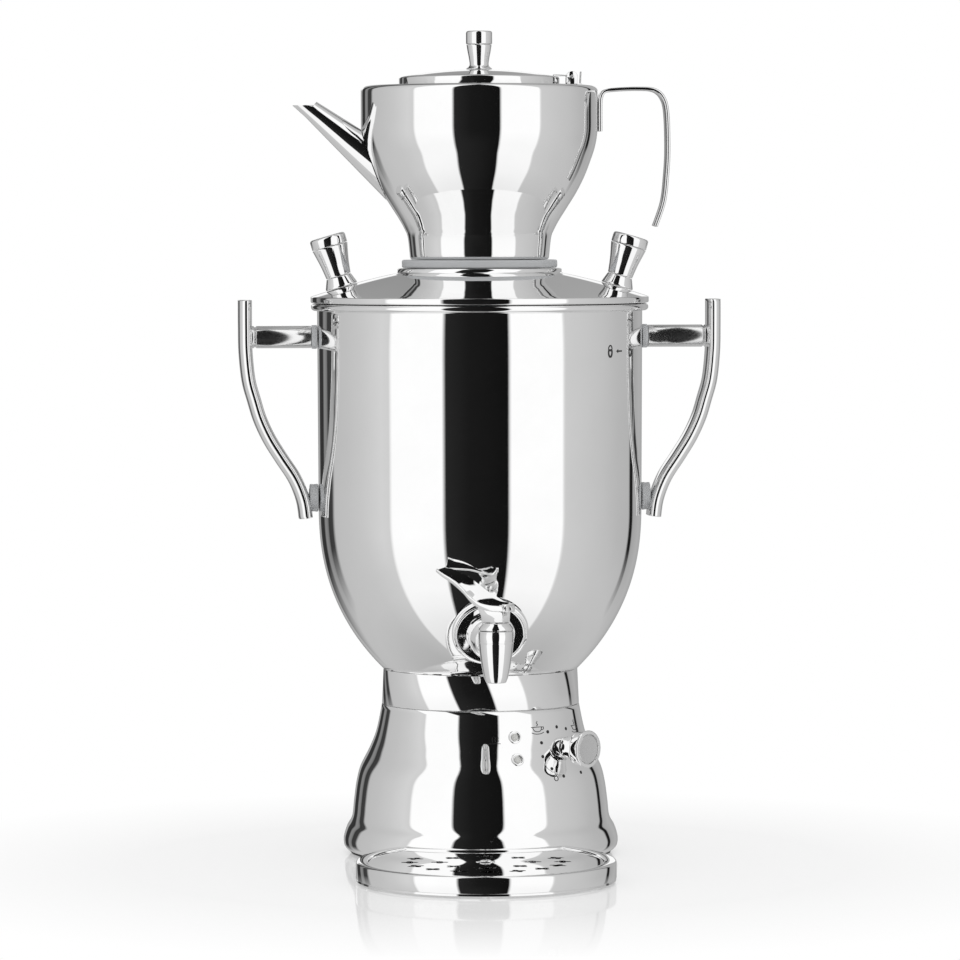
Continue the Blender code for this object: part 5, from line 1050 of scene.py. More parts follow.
outside = [spout_ring(share) for share in (0.0, 0.3, 0.6, 0.85, 0.95)]
outside += [spout_ring(1, 0, 2), spout_ring(1, SHEET / 4, 1)]
inside = [spout_ring(1, 0.7 * SHEET, 1), spout_ring(1, 0.9 * SHEET, 2)]
inside += [spout_ring(share, SHEET) for share in (0.9, 0.6, 0.3, 0.0)]
spout = skinned("teapot_spout_tube", outside + inside, "teapot", ["teapot_spout"], edge=0, closed=True)
envelope = [(0, POT_LOW - SHEET)] + inward([(r, z) for r, z in pot_wall], -SEAT_GAP) + [(0, pot_top + SHEET)]
cut_away(spout, turned("pot_envelope", envelope, "teapot", edge=0), "trim to wall")
finish_mesh(spout, 0)
bpy.ops.object.shade_smooth_by_angle(angle=SPOUT_CREASE)
dress(spout, mirror_steel)
print("spout", round(length, 4), "m long")

# %% [markdown]
# The pot's handle is a flat strap, two millimetres thick, that leaves the wall, turns over a tight
# shoulder, runs level and then drops free behind the pot. Its edges stay flat and catch one long dark line.

# %% Teapot handle
STRAP_THICK = 0.0020
STRAP_WIDTH = 0.0150
STRAP_REACH = 0.1054
STRAP_EDGE = 0.0005
STRAP_CREASE = math.radians(60)
STRAP_SHARES = [
    (0.000, 0.738), (0.000, 0.880), (0.012, 0.935), (0.070, 0.968), (0.240, 0.979), (0.560, 0.984),
    (0.800, 0.976), (0.930, 0.930), (0.985, 0.840), (1.000, 0.630), (0.980, 0.480), (0.935, 0.330),
    (0.815, 0.189),
]

strap_start = POT_RADIUS + SEAT_GAP + STRAP_THICK / 2
strap_path = flow([
    (strap_start + out * (STRAP_REACH - strap_start), POT_LOW + up * POT_HEIGHT) for out, up in STRAP_SHARES
])
skin, half_width = STRAP_THICK / 2, STRAP_WIDTH / 2
flat_skin, flat_width = skin - STRAP_EDGE, half_width - STRAP_EDGE
strap_section = [
    (skin, flat_width), (flat_skin, half_width), (-flat_skin, half_width), (-skin, flat_width),
    (-skin, -flat_width), (-flat_skin, -half_width), (flat_skin, -half_width), (skin, -flat_width),
]
rings = []
for (reach, height), (across, up) in zip(strap_path, outwards(strap_path)):
    rings.append([(reach + across * deep, wide, height + up * deep) for deep, wide in strap_section])
strap = skinned("teapot_strap", rings, "teapot", ["teapot_handle"], edge=0)
bpy.ops.object.shade_smooth_by_angle(angle=STRAP_CREASE)
dress(strap, mirror_steel)

# %% [markdown]
# The pot's lid turns on a pin held by two ears. An ear is a round-topped outline pushed a millimetre deep,
# so each flat part of the hinge is an outline in the (x, z) plane made solid along y, and parts of one
# pressing are joined. The upright strip behind the ears stops the lid when it is thrown open.

# %% Teapot hinge
PLATE_EDGE = 0.00015


def plate(name, outline, low, high):
    """An (x, z) outline made solid between two places along y, left loose for joining."""
    return finish_mesh(planked(name, [[(x, y, z) for x, z in outline] for y in (low, high)]), PLATE_EDGE, 2)


def joined(name, parts, body, stands_for=(), place=AXIS, lean=(0, 0, 0)):
    """Several loose parts made one piece that rides on a body."""
    only(parts[0])
    for part in parts[1:]:
        part.select_set(True)
    bpy.ops.object.join()
    piece = bpy.context.object
    piece.name = name
    settle(piece, place, lean)
    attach(piece, body)
    if stands_for:
        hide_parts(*stands_for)
    return piece


HINGE_REACH = 0.0517
HINGE_Z = pot_top + 0.0052
EAR_RADIUS = 0.0030
EAR_THICK = 0.0010
EAR_HALF = 0.0046
STOP_REACH = 0.0562
STOP_TALL = 0.0078
STOP_LEAN = [(0, 0), (0.0001, 0.4), (0.0004, 1)]
STOP_SHARE = 0.6
LEAF_START = 0.0415
LEAF_THICK = 0.0009
LEAF_EYE = 0.0025
LEAF_PLAY = 0.0004
PIN_RADIUS = 0.0011
PIN_CHAMFER = 0.0003
PIN_STEPS = 32

base = pot_top + SEAT_GAP
ear = [(HINGE_REACH - EAR_RADIUS, base)] + bow((HINGE_REACH, HINGE_Z), EAR_RADIUS, 180, 0, 20)
ear += [(HINGE_REACH + EAR_RADIUS, base)]
foot_start, foot_end = HINGE_REACH - EAR_RADIUS, STOP_REACH + EAR_THICK
foot = [(foot_start, base), (foot_end, base), (foot_end, base + EAR_THICK), (foot_start, base + EAR_THICK)]
stop_line = flow([(STOP_REACH + out, base + STOP_TALL * up) for out, up in STOP_LEAN], 5)
stop = stop_line + [(x + EAR_THICK * STOP_SHARE, z) for x, z in stop_line[::-1]]
parts = [
    plate("hinge_foot", foot, -EAR_HALF, EAR_HALF),
    plate("ear_front", ear, -EAR_HALF, EAR_THICK - EAR_HALF),
    plate("ear_back", ear, EAR_HALF - EAR_THICK, EAR_HALF),
    plate("stop", stop, -EAR_HALF * STOP_SHARE, EAR_HALF * STOP_SHARE),
]
bracket = joined("hinge_bracket", parts, "teapot", ["teapot_hinge_bracket"])
dress(bracket, small_steel)
leaf_low = dome_height(LEAF_START) + HAIR_EDGE
leaf_line = [(LEAF_START, leaf_low), (HINGE_REACH, leaf_low)]
leaf_line += bow((HINGE_REACH, HINGE_Z), LEAF_EYE, -120, 160, 20) + [(LEAF_START, leaf_low + LEAF_THICK)]
leaf_half = EAR_HALF - EAR_THICK - LEAF_PLAY
flat_leaf = plate("leaf", leaf_line, -leaf_half, leaf_half)
leaf = joined("hinge_leaf", [flat_leaf], "teapot_lid", ["teapot_hinge_leaf"])
dress(leaf, small_steel)
pin_half = EAR_HALF + EAR_THICK / 2
pin_flat = pin_half - PIN_CHAMFER
pin_line = [(0, -pin_half), (PIN_RADIUS, -pin_flat), (PIN_RADIUS, pin_flat), (0, pin_half)]
pin_place = AXIS + Vector((HINGE_REACH, 0, HINGE_Z))
pin_lean = (math.pi / 2, 0, 0)
pin = turned(
    "hinge_pin", pin_line, "teapot_lid", ["teapot_hinge_pin"], pin_place, pin_lean, PIN_STEPS, HAIR_EDGE
)
dress(pin, satin_steel)

# %% [markdown]
# The tap is screwed to the bowl, so its round escutcheon and the gasket behind it follow the bowl's curve.
# Both are turned about the wall's own slant, and a Boolean against the bowl's outline, swollen by the
# clearance, trims their backs. The arm leaves the flange like a trumpet and ends level in the valve.

# %% Tap on the bowl
TAP_REACH = 0.1179732
TAP_Z = 0.1300
TAP_STEPS = 96
TAP_CREASE = math.radians(35)
ESCUTCHEON_RADIUS = 0.0210
ESCUTCHEON_THICK = 0.0034
ESCUTCHEON_ROUND = 0.0010
ESCUTCHEON_FLAT = 0.0030
GROOVE_AT = (0.0193, 0.0022)
GROOVE_ROUND = 0.0005
BEAD_AT = (0.0182, 0.0024)
BEAD_ROUND = 0.0006
GASKET_RADIUS = 0.0190
GASKET_THICK = 0.0012
FLANGE_RADIUS = 0.0125
NECK_TUBE_RADIUS = 0.0078
NECK_TAPER = 0.0006
NECK_SHORT = 0.0057
NECK_Z = 0.1270
NECK_SHARES = [(0.00, 1.00), (0.12, 0.90), (0.30, 0.55), (0.55, 0.15), (1.00, 0.00)]
NECK_STEPS = 24
NECK_SIDES = 64

slant = math.atan2(bowl_radius(TAP_Z + SHEET) - bowl_radius(TAP_Z - SHEET), 2 * SHEET)
wall_spot = Vector((0, -bowl_radius(TAP_Z), TAP_Z))
normal = Vector((0, -math.cos(slant), -math.sin(slant)))
tap_spot = AXIS + wall_spot
tap_lean = (math.pi / 2 + slant, 0, 0)


def trimmed_to_bowl(piece, clearance):
    """Cuts away what lies inside the bowl's outline swollen by a clearance."""
    line = [(0, BOWL_LOW)] + inward(tank_wall(48), -clearance) + [(0, TANK_TOP)]
    cut_away(piece, turned("bowl_envelope", line, "samovar", edge=0), "follow the bowl")
    finish_mesh(piece, 0)
    bpy.ops.object.shade_smooth_by_angle(angle=TAP_CREASE)
    return piece


deep = -ESCUTCHEON_RADIUS / 2
shoulder = (ESCUTCHEON_RADIUS - ESCUTCHEON_ROUND, ESCUTCHEON_THICK - 2 * ESCUTCHEON_ROUND)
face = [(0, deep), (ESCUTCHEON_RADIUS, deep)] + bow(shoulder, ESCUTCHEON_ROUND, 0, 80, 6)
face += bow(GROOVE_AT, GROOVE_ROUND, -60, -150, 4)
face += bow(BEAD_AT, BEAD_ROUND, 20, 90, 5)
face += [(radius, ESCUTCHEON_FLAT) for radius in (0.0176, 0.0173, 0.0134, 0.0131)]
face += [(FLANGE_RADIUS, ESCUTCHEON_THICK), (0, ESCUTCHEON_THICK)]
escutcheon = turned("tap_rose", face, "samovar", ["tap_escutcheon"], tap_spot, tap_lean, TAP_STEPS, 0)
dress(trimmed_to_bowl(escutcheon, GASKET_THICK + 2 * SEAT_GAP), mirror_steel)
pad_line = [(0, deep), (GASKET_RADIUS, deep), (GASKET_RADIUS, SHEET), (0, SHEET)]
pad = turned("tap_seal", pad_line, "samovar", ["tap_gasket"], tap_spot, tap_lean, TAP_STEPS, 0)
dress(trimmed_to_bowl(pad, SEAT_GAP), grey_silicone)

flange = wall_spot + normal * (ESCUTCHEON_THICK + SEAT_GAP)
valve = Vector((0, -TAP_REACH + NECK_SHORT, NECK_Z))
control = flange + normal * ((TAP_REACH + flange.y) / 3)
level = Vector((0, control.y, valve.z))
neck_line = flow(NECK_SHARES, 6)
turns = [math.tau * k / NECK_SIDES for k in range(NECK_SIDES)]
rings = []
for i in range(NECK_STEPS + 1):
    t = i / NECK_STEPS
    low = flange.lerp(control, t).lerp(control.lerp(level, t), t)
    high = control.lerp(level, t).lerp(level.lerp(valve, t), t)
    middle = low.lerp(high, t)
    across = (high - low).normalized().cross(Vector((1, 0, 0)))
    spans = zip(neck_line, neck_line[1:])
    flare = next(r0 + (r1 - r0) * (t - t0) / (t1 - t0) for (t0, r0), (t1, r1) in spans if t <= t1)
    radius = NECK_TUBE_RADIUS + (FLANGE_RADIUS - NECK_TUBE_RADIUS) * flare - NECK_TAPER * t**6
    rings.append([
        middle + Vector((radius * math.cos(a), 0, 0)) + across * (radius * math.sin(a)) for a in turns
    ])
arm = skinned("tap_arm", rings, "samovar", edge=2 * FINE_EDGE)
dress(arm, mirror_steel)

# %% [markdown]
# The valve housing stands upright. It is turned: a slim tapered nozzle with a soft mouth, a fine raised
# line where the cap begins, and a straight band above. A low domed ring closes it round the stem.

# %% Valve housing
VALVE_TOP = 0.1339
VALVE_RADIUS = 0.0097
VALVE_BAND = VALVE_RADIUS - HAIR_EDGE
VALVE_LINE = 0.1280
VALVE_ROUND = 0.0005
NOZZLE_LOW = 0.1058
NOZZLE_RADIUS = 0.0056
NOZZLE_BORE = 0.0040
NOZZLE_DEEP = 0.1120
NOZZLE_CONE = 0.0008
NOZZLE_LINE = [(0.0064, 0.1085), (0.0078, 0.1150), (0.0088, 0.1215), (0.00945, VALVE_LINE - 0.0005)]
LIP_INSIDE = 0.0006
LIP_OUTSIDE = 0.0009
BONNET_TOP = 0.1381
BONNET_TOP_RADIUS = 0.0080
BONNET_FLAT = 0.0034
BONNET_FOOT = [(0.0004, 0), (0.0001, 0.0006)]
BONNET_DOME = [(0.0095, 0.0013), (0.0090, 0.0024)]

valve_place = AXIS + Vector((0, -TAP_REACH, 0))
lip = NOZZLE_LOW + LIP_INSIDE
housing = [(0, NOZZLE_DEEP + NOZZLE_CONE), (NOZZLE_BORE, NOZZLE_DEEP), (NOZZLE_BORE, lip)]
housing += bow((NOZZLE_BORE + LIP_INSIDE, lip), LIP_INSIDE, 180, 270, 4)
housing += bow((NOZZLE_RADIUS - LIP_OUTSIDE, NOZZLE_LOW + LIP_OUTSIDE), LIP_OUTSIDE, -90, -10, 5)
housing += flow(NOZZLE_LINE, 5)
housing += [(VALVE_RADIUS, VALVE_LINE - HAIR_EDGE), (VALVE_RADIUS, VALVE_LINE + 2 * HAIR_EDGE)]
housing += [(VALVE_BAND, VALVE_LINE + 3 * HAIR_EDGE), (VALVE_BAND, VALVE_TOP - VALVE_ROUND - HAIR_EDGE)]
housing += bow((VALVE_RADIUS - VALVE_ROUND, VALVE_TOP - VALVE_ROUND), VALVE_ROUND, 10, 90, 4)
housing += [(0, VALVE_TOP)]
body = turned("tap_housing", housing, "samovar", ["tap_body"], valve_place, steps=TAP_STEPS, edge=0)
dress(body, mirror_steel)

bonnet_low = VALVE_TOP + SEAT_GAP
bonnet_line = [(0, bonnet_low)] + [(VALVE_RADIUS - shy, bonnet_low + up) for shy, up in BONNET_FOOT]
bonnet_dome = [(radius, bonnet_low + up) for radius, up in BONNET_DOME] + [(BONNET_TOP_RADIUS, BONNET_TOP)]
bonnet_line += flow(bonnet_dome, 5)[1:] + [(BONNET_FLAT, BONNET_TOP), (0, BONNET_TOP)]
bonnet = turned(
    "tap_cap_ring", bonnet_line, "samovar", ["tap_bonnet"], valve_place, steps=TAP_STEPS, edge=HAIR_EDGE
)
dress(bonnet, small_steel)

# %% [markdown]
# The lever is a cast paddle. It stays thick over its hub and then sweeps up and thins to a slanted tip,
# with a raised rim along the front edge and a trough behind it. Each row below is a place along the lever:
# how far out its front and its back edge are, the height under the front edge and on the back edge, and
# how far each edge stands to its own side. The hub under it widens upwards, and the end block has a
# small slot.

# %% Tap lever
LEVER_TURN = math.radians(136)
LEVER_RIM = 0.0010
LEVER_SIDE = 0.0034
LEVER_BACK = 0.0020
LEVER_THINNING = 0.40
TROUGH = 0.0012
LEVER_ROWS = [
    (-0.0098, -0.0075, 0.1446, 0.1493, 0.0062, 0.0034), (-0.0020, -0.0010, 0.1448, 0.1495, 0.0078, 0.0062),
    (0.0057, 0.0055, 0.1463, 0.1512, 0.0085, 0.0085), (0.0110, 0.0120, 0.1491, 0.1540, 0.0085, 0.0085),
    (0.0164, 0.0185, 0.1536, 0.1576, 0.0085, 0.0085), (0.0236, 0.0262, 0.1583, 0.1616, 0.0085, 0.0085),
    (0.0308, 0.0343, 0.1617, 0.1643, 0.0085, 0.0085), (0.0353, 0.0415, 0.1642, 0.1663, 0.0083, 0.0083),
]
TOP_SHARES = [(0.72, 0.52), (0.68, 0.60), (0.50, 0.72), (0.25, 0.86)]
CORNER_ACROSS = 0.0006
CORNER_UP = 0.0005
RIM_CORNER = 0.0003
BACK_CORNER = 0.0004

rows = list(zip(*(flow([(row[0], row[k]) for row in LEVER_ROWS], 6) for k in range(1, 6))))
rings = []
for i, row in enumerate(rows):
    front, back = row[0]
    low, high, near, away = (pair[1] for pair in row[1:])
    thin = 1 - LEVER_THINNING * (i / (len(rows) - 1)) ** 2
    top = low + LEVER_SIDE * thin
    trough = top - TROUGH * thin
    under = high - LEVER_BACK * thin
    inner = near - LEVER_RIM
    section = [
        (front, near - CORNER_ACROSS, low), (front, near, low + CORNER_UP), (front, near, top - RIM_CORNER),
        (front, near - RIM_CORNER, top), (front, inner, top), (front, inner - CORNER_ACROSS, trough),
    ]
    for share, up in TOP_SHARES:
        out, aside = front * share + back * (1 - share), near * share - away * (1 - share)
        section.append((out, aside, trough + (high - trough) * up))
    section += [
        (back, -away + BACK_CORNER, high), (back, -away, high - BACK_CORNER),
        (back, -away, under + CORNER_UP), (back, -away + CORNER_ACROSS, under),
        ((front + back) / 2, 0, (low + under) / 2),
    ]
    rings.append(section)
lever_lean = (0, 0, LEVER_TURN)
blade = skinned("tap_lever_blade", rings, "tap_valve", ["tap_lever"], FINE_EDGE, 2, lever_lean, valve_place)
dress(blade, mirror_steel)

HUB_LOW = BONNET_TOP + SEAT_GAP
HUB_TURN = math.radians(12)
HUB_ROWS = [
    (HUB_LOW, -0.0063, 0.0066, 0.0042), (0.1420, -0.0065, 0.0072, 0.0042),
    (0.1462, -0.0067, 0.0092, 0.0046),
]
HUB_EDGE = 0.0006
FACES_BACK = -0.85
HOLLOW_RIM = 0.0013
HOLLOW_DEEP = 0.0026
BLOCK_ENDS = (-0.0104, -0.0070)
BLOCK_ROWS = [(0.1444, 0.0035), (0.1488, 0.0037)]
BLOCK_EDGE = 0.0004
SLOT_ENDS = (-0.0112, -0.0096)
SLOT_ROWS = [(0.1455, -0.0011), (0.1477, -0.0001)]
SLOT_WIDTH = 0.0010


def loose(name, rings, edge):
    """A solid through rings of points, left loose for joining."""
    piece = skinned(name, rings, "samovar", edge=edge, segments=3)
    piece.location = -AXIS
    bpy.ops.object.transform_apply(location=True, rotation=True, scale=True)
    return piece


def level_square(start, end, low, high, z):
    """A rectangle at a height, from start to end along x and from low to high along y."""
    return [(start, low, z), (end, low, z), (end, high, z), (start, high, z)]


hub_rings = [level_square(start, end, -half, half, z) for z, start, end, half in HUB_ROWS]
hub_rings = [[Matrix.Rotation(HUB_TURN, 3, "Z") @ Vector(point) for point in ring] for ring in hub_rings]
hub = loose("hub", hub_rings, HUB_EDGE)
only(hub)
bpy.ops.object.mode_set(mode="EDIT")
bpy.ops.mesh.select_all(action="DESELECT")
bpy.ops.object.mode_set(mode="OBJECT")
backs = [polygon for polygon in hub.data.polygons if polygon.normal.x < FACES_BACK]
widest = max(polygon.area for polygon in backs)
for polygon in backs:
    polygon.select = polygon.area > widest / 3
bpy.ops.object.mode_set(mode="EDIT")
bpy.ops.mesh.inset(thickness=HOLLOW_RIM, depth=-HOLLOW_DEEP)
bpy.ops.object.mode_set(mode="OBJECT")
block_rings = [level_square(*BLOCK_ENDS, -half, half, z) for z, half in BLOCK_ROWS]
slot_rings = [level_square(*SLOT_ENDS, low, low + SLOT_WIDTH, z) for z, low in SLOT_ROWS]
end_block = loose("end_block", block_rings, BLOCK_EDGE)
cut_away(end_block, loose("slot", slot_rings, 0), "slot")
hub = joined("tap_lever_hub", [hub, end_block], "tap_valve", ["tap_lever"], valve_place, lever_lean)
dress(hub, small_steel)

# %% [markdown]
# The knob that sets the heat points level out of the bell, to the right. The two lamps stand beside it
# and the cord's gland at the back, each square to the wall's own slant. The whole base stands turned a
# little against the tank, as in the photograph, and their directions count from the base's own front.

# %% Heat knob, lamps and gland
BASE_TURN = math.radians(-2.8)
KNOB_TURN = math.radians(46.5)
KNOB_Z = 0.0632
KNOB_BACK = 0.064967
KNOB_FACE = 0.080467
KNOB_NECK = 0.0060
KNOB_RADIUS = 0.0104
KNOB_SEAM = 0.0740
KNOB_SEAM_RADIUS = 0.0090
KNOB_INSERT = 0.0082
KNOB_RECESS = 0.0012
KNOB_CHAMFER = 0.0003
KNOB_ROUND = 0.0009
KNOB_STEPS = 96
KNOB_CREASE = math.radians(40)
NUT_LINE = [(0, 0.0596), (0.0056, 0.0596), (0.0056, 0.0632), (0.0052, 0.0637), (0, 0.0639)]
LAMP_TURN = 0.307
LAMP_HEIGHTS = {"lower": 0.0580, "upper": 0.0700}
LAMP_STEPS = 48
GLAND_Z = 0.0345


def bell_spot(turn, height):
    """A place on the bell, and the lean of a piece that stands square to the wall there."""
    radius = reach_at(bell_wall, height)
    steep = math.atan2(reach_at(bell_wall, height + SHEET) - reach_at(bell_wall, height - SHEET), 2 * SHEET)
    turn += BASE_TURN
    spot = AXIS + Vector((radius * math.sin(turn), -radius * math.cos(turn), height))
    return spot, (math.pi / 2 + steep, 0, turn)


knob_place = AXIS + Vector((0, 0, KNOB_Z))
knob_lean = (math.pi / 2, 0, KNOB_TURN + BASE_TURN)
recess = KNOB_FACE - KNOB_RECESS
knob_flare = [(KNOB_NECK, KNOB_BACK + 0.0010), (0.0071, KNOB_BACK + 0.0042), (0.0092, KNOB_SEAM - 0.0006)]
knob_line = [(0, KNOB_BACK), (KNOB_NECK - KNOB_CHAMFER, KNOB_BACK), (KNOB_NECK, KNOB_BACK + KNOB_CHAMFER)]
knob_line += flow(knob_flare, 6)
knob_line += [(KNOB_SEAM_RADIUS, KNOB_SEAM - FINE_EDGE), (KNOB_SEAM_RADIUS, KNOB_SEAM + FINE_EDGE)]
knob_line += [(0.0093, KNOB_SEAM + 0.0006), (KNOB_RADIUS - FINE_EDGE, KNOB_FACE - 0.0014)]
knob_line += bow((KNOB_RADIUS - KNOB_ROUND, KNOB_FACE - KNOB_ROUND), KNOB_ROUND, 10, 90, 6)
knob_line += [(KNOB_INSERT + FINE_EDGE, KNOB_FACE), (KNOB_INSERT, KNOB_FACE - KNOB_CHAMFER)]
knob_line += [(KNOB_INSERT, recess), (0, recess)]
knob = turned("heat_knob", knob_line, "control_knob", ["control_knob"], knob_place, knob_lean, KNOB_STEPS, 0)
bpy.ops.object.shade_smooth_by_angle(angle=KNOB_CREASE)
dress(knob, mirror_steel)
disc_low = recess + FINE_EDGE
disc_rim = KNOB_INSERT - SEAT_GAP
disc_face = [(KNOB_INSERT - 0.0006, disc_low + 0.0007), (0.0040, disc_low + 0.0005), (0, disc_low + 0.0004)]
disc_line = [(0, disc_low), (disc_rim, disc_low), (disc_rim, disc_low + 0.0005)] + flow(disc_face, 6)
insert = ["control_knob_insert"]
disc = turned("heat_knob_disc", disc_line, "control_knob", insert, knob_place, knob_lean, FINE, 0)
dress(disc, satin_steel)
nut = turned("shaft_nut", NUT_LINE, "samovar", ["dial_nut"], knob_place, knob_lean, FINE, FINE_EDGE)
dress(nut, small_steel)

bezel = [(0.0023, -0.0018), (0.0030, -0.0018), (0.0030, 0.0003), (0.0036, 0.0003)]
bezel += bow((0.0032, 0.0005), 0.0003, 0, 90, 4)
bezel += [(0.0024, 0.0008), (0.0023, 0.0006), (0.0023, -0.0018)]
lens = [(0, -0.0060), (0.0020, -0.0060), (0.0020, 0.0003)]
lens += flow([(0.0018, 0.0005), (0.0010, 0.0007), (0, 0.0008)], 4)
for word, height in LAMP_HEIGHTS.items():
    spot, lean = bell_spot(LAMP_TURN, height)
    piece = turned(f"lamp_ring_{word}", bezel, "samovar", [f"lamp_bezel_{word}"], spot, lean, LAMP_STEPS, 0)
    dress(piece, small_steel)
    piece = turned(f"lamp_window_{word}", lens, "samovar", [f"lamp_lens_{word}"], spot, lean, LAMP_STEPS, 0)
    dress(piece, lamp_plastic)

gland = [(0.0035, -0.0045), (0.0060, -0.0045), (0.0060, 0.0003), (0.0085, 0.0003), (0.0083, 0.0010)]
gland += bow((0.0068, 0.0012), 0.0008, 0, 90, 4)
gland += [(0.0043, 0.0020), (0.0036, 0.0016), (0.0035, -0.0045)]
spot, lean = bell_spot(math.pi, GLAND_Z)
piece = turned("gland_boot", gland, "samovar", ["cord_gland"], spot, lean, LAMP_STEPS, HAIR_EDGE)
dress(piece, black_rubber)

# %% [markdown]
# The printed marks are dots and plain pictograms. A pictogram is a few lines in millimetres, drawn flat
# with a pen and then wrapped on the wall it is printed on, a hair above the steel. Round the heat knob
# stand the dots of its scale, with a cup at both ends. The lid's marks are a closed lock, an arrow and an
# open lock.

# %% Printed marks
MM = 0.001
INK_BLACK = (0.012, 0.012, 0.012)
INK_LIFT = 0.00008
INK_LINE = 0.00040
THIN_LINE = INK_LINE * 0.8
DOT_RADIUS = 0.00096
DOT_STEPS = 20
RING_STEPS = 24
SCALE_DOTS = [
    (36.0, 0.0719), (43.4, 0.0741), (51.3, 0.0725), (30.5, 0.0663), (29.3, 0.0590), (32.6, 0.0524),
    (38.5, 0.0480), (51.4, 0.0488),
]
RING_MARK = (33.7, 0.0471, 0.0013)
CUPS = [(29.2, 0.0740), (61.0, 0.0727)]
CUP_BRIM = [(-4.0, 0.9), (-2.0, 0.9), (0, 0.9), (2.0, 0.9), (3.4, 0.9)]
CUP_LINES = [
    [(-3.1, 0.9), (-2.4, -0.8), (-1.0, -1.6), (1.0, -1.6), (2.3, -0.8), (2.9, 0.9)],
    [(2.9, 0.7), (4.1, 0.8), (3.9, -0.4), (2.4, -0.7)],
    [(-4.0, -2.1), (-2.2, -2.8), (0, -3.0), (2.2, -2.8), (4.0, -2.1)],
    [(-0.5, 1.5), (0.4, 2.3), (-0.4, 3.2), (0.4, 4.1)],
]
STEAM_MARK = (3.6, 0.0689)
STEAM_WAVE = [(0, -1.3), (0.45, -0.6), (-0.1, 0.1), (0.45, 0.8), (0.1, 1.4)]
STEAM_PLATE = [(-3.2, -2.2), (-1.0, -2.2), (1.0, -2.2), (3.2, -2.2)]
FRONT_MARK = (0.4, 0.0147)
FRONT_POINT = [(-1.0, 0.5), (1.0, 0.5), (0, -0.7)]
LOCK_Z = 0.2822
LOCK_MARKS = {"closed": (48.0, 0.6), "open": (62.0, 1.6)}
LOCK_CASE = [(0, 0.6), (1.35, 0.5), (1.5, -1.2), (0.9, -2.6), (0, -2.9)]
LOCK_CASE += [(-x, y) for x, y in LOCK_CASE[-2::-1]]
LOCK_BOW = [(-1.45, 0.6), (-1.5, 1.9), (-0.9, 2.9), (0, 3.2), (0.9, 2.9), (1.5, 1.9)]
LOCK_BOW_END = 1.45
CASE_LINE = 1.25 * MM
BOW_LINE = 0.8 * MM
ARROW_MARK = 53.5
ARROW_HEAD = [(-3.1, 0), (-1.0, 1.1), (-1.0, -1.1)]
ARROW_SHAFT = [(-1.1, 0), (0.4, 0), (1.8, 0), (3.0, 0)]
ARROW_LINE = 0.9 * MM

ink = moulded("black_print", "black_plastic", INK_BLACK, depth=0.02, smooth=0.35, rough=0.5)


def stroke(points, width=INK_LINE):
    """A pen stroke along points: its outline points and its quads."""
    sides = []
    for i, here in enumerate(points):
        before, after = Vector(points[max(i - 1, 0)]), Vector(points[min(i + 1, len(points) - 1)])
        along = (after - before).normalized()
        aside = Vector((-along.y, along.x)) * (width / 2)
        sides += [Vector(here) + aside, Vector(here) - aside]
    return sides, [(2 * i, 2 * i + 1, 2 * i + 3, 2 * i + 2) for i in range(len(points) - 1)]


def sized(line):
    """Points in millimetres turned into metres."""
    return [(x * MM, y * MM) for x, y in line]


def curved(line, width=INK_LINE):
    """A smooth pen stroke through points in millimetres."""
    return stroke(flow(sized(line)), width)


def filled(line):
    """A filled shape with corners in millimetres."""
    return [Vector(point) for point in sized(line)], [(0, 2, 1)]


def circle(radius, steps):
    """Points round the middle of a mark."""
    turns = [math.tau * i / steps for i in range(steps)]
    return [(radius * math.cos(a), radius * math.sin(a)) for a in turns]


def printed(name, shapes, spot, lean, bend):
    """Prints flat shapes on a wall that bends with the given radius."""
    points, faces = [], []
    for outline, sides in shapes:
        faces += [tuple(len(points) + k for k in side) for side in sides]
        points += [(p.x, p.y, INK_LIFT - p.x ** 2 / (2 * bend)) for p in outline]
    sheet = bpy.data.meshes.new(name)
    sheet.from_pydata(points, [], faces)
    piece = bpy.data.objects.new(name, sheet)
    bpy.context.collection.objects.link(piece)
    only(piece)
    thick = piece.modifiers.new("ink", "SOLIDIFY")
    thick.thickness = INK_LIFT / 2
    bpy.ops.object.modifier_apply(modifier=thick.name)
    settle(piece, spot, lean)
    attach(piece, "samovar")
    return dress(piece, ink)


def on_bell(name, shapes, degrees, height):
    """Prints shapes on the bell, at degrees counted from the tank's front."""
    spot, lean = bell_spot(math.radians(degrees) - BASE_TURN, height)
    return printed(name, shapes, spot, lean, (spot - AXIS).xy.length)


def on_tank(name, shapes, degrees):
    """Prints shapes on the tank's upper wall, square to its slant."""
    turn = math.radians(degrees)
    radius = upper_radius(LOCK_Z)
    steep = math.atan2(TANK_TOP_RADIUS - TANK_RADIUS, TANK_TOP - BOWL_TOP)
    spot = AXIS + Vector((radius * math.sin(turn), -radius * math.cos(turn), LOCK_Z))
    return printed(name, shapes, spot, (math.pi / 2 + steep, 0, turn), TANK_RADIUS)


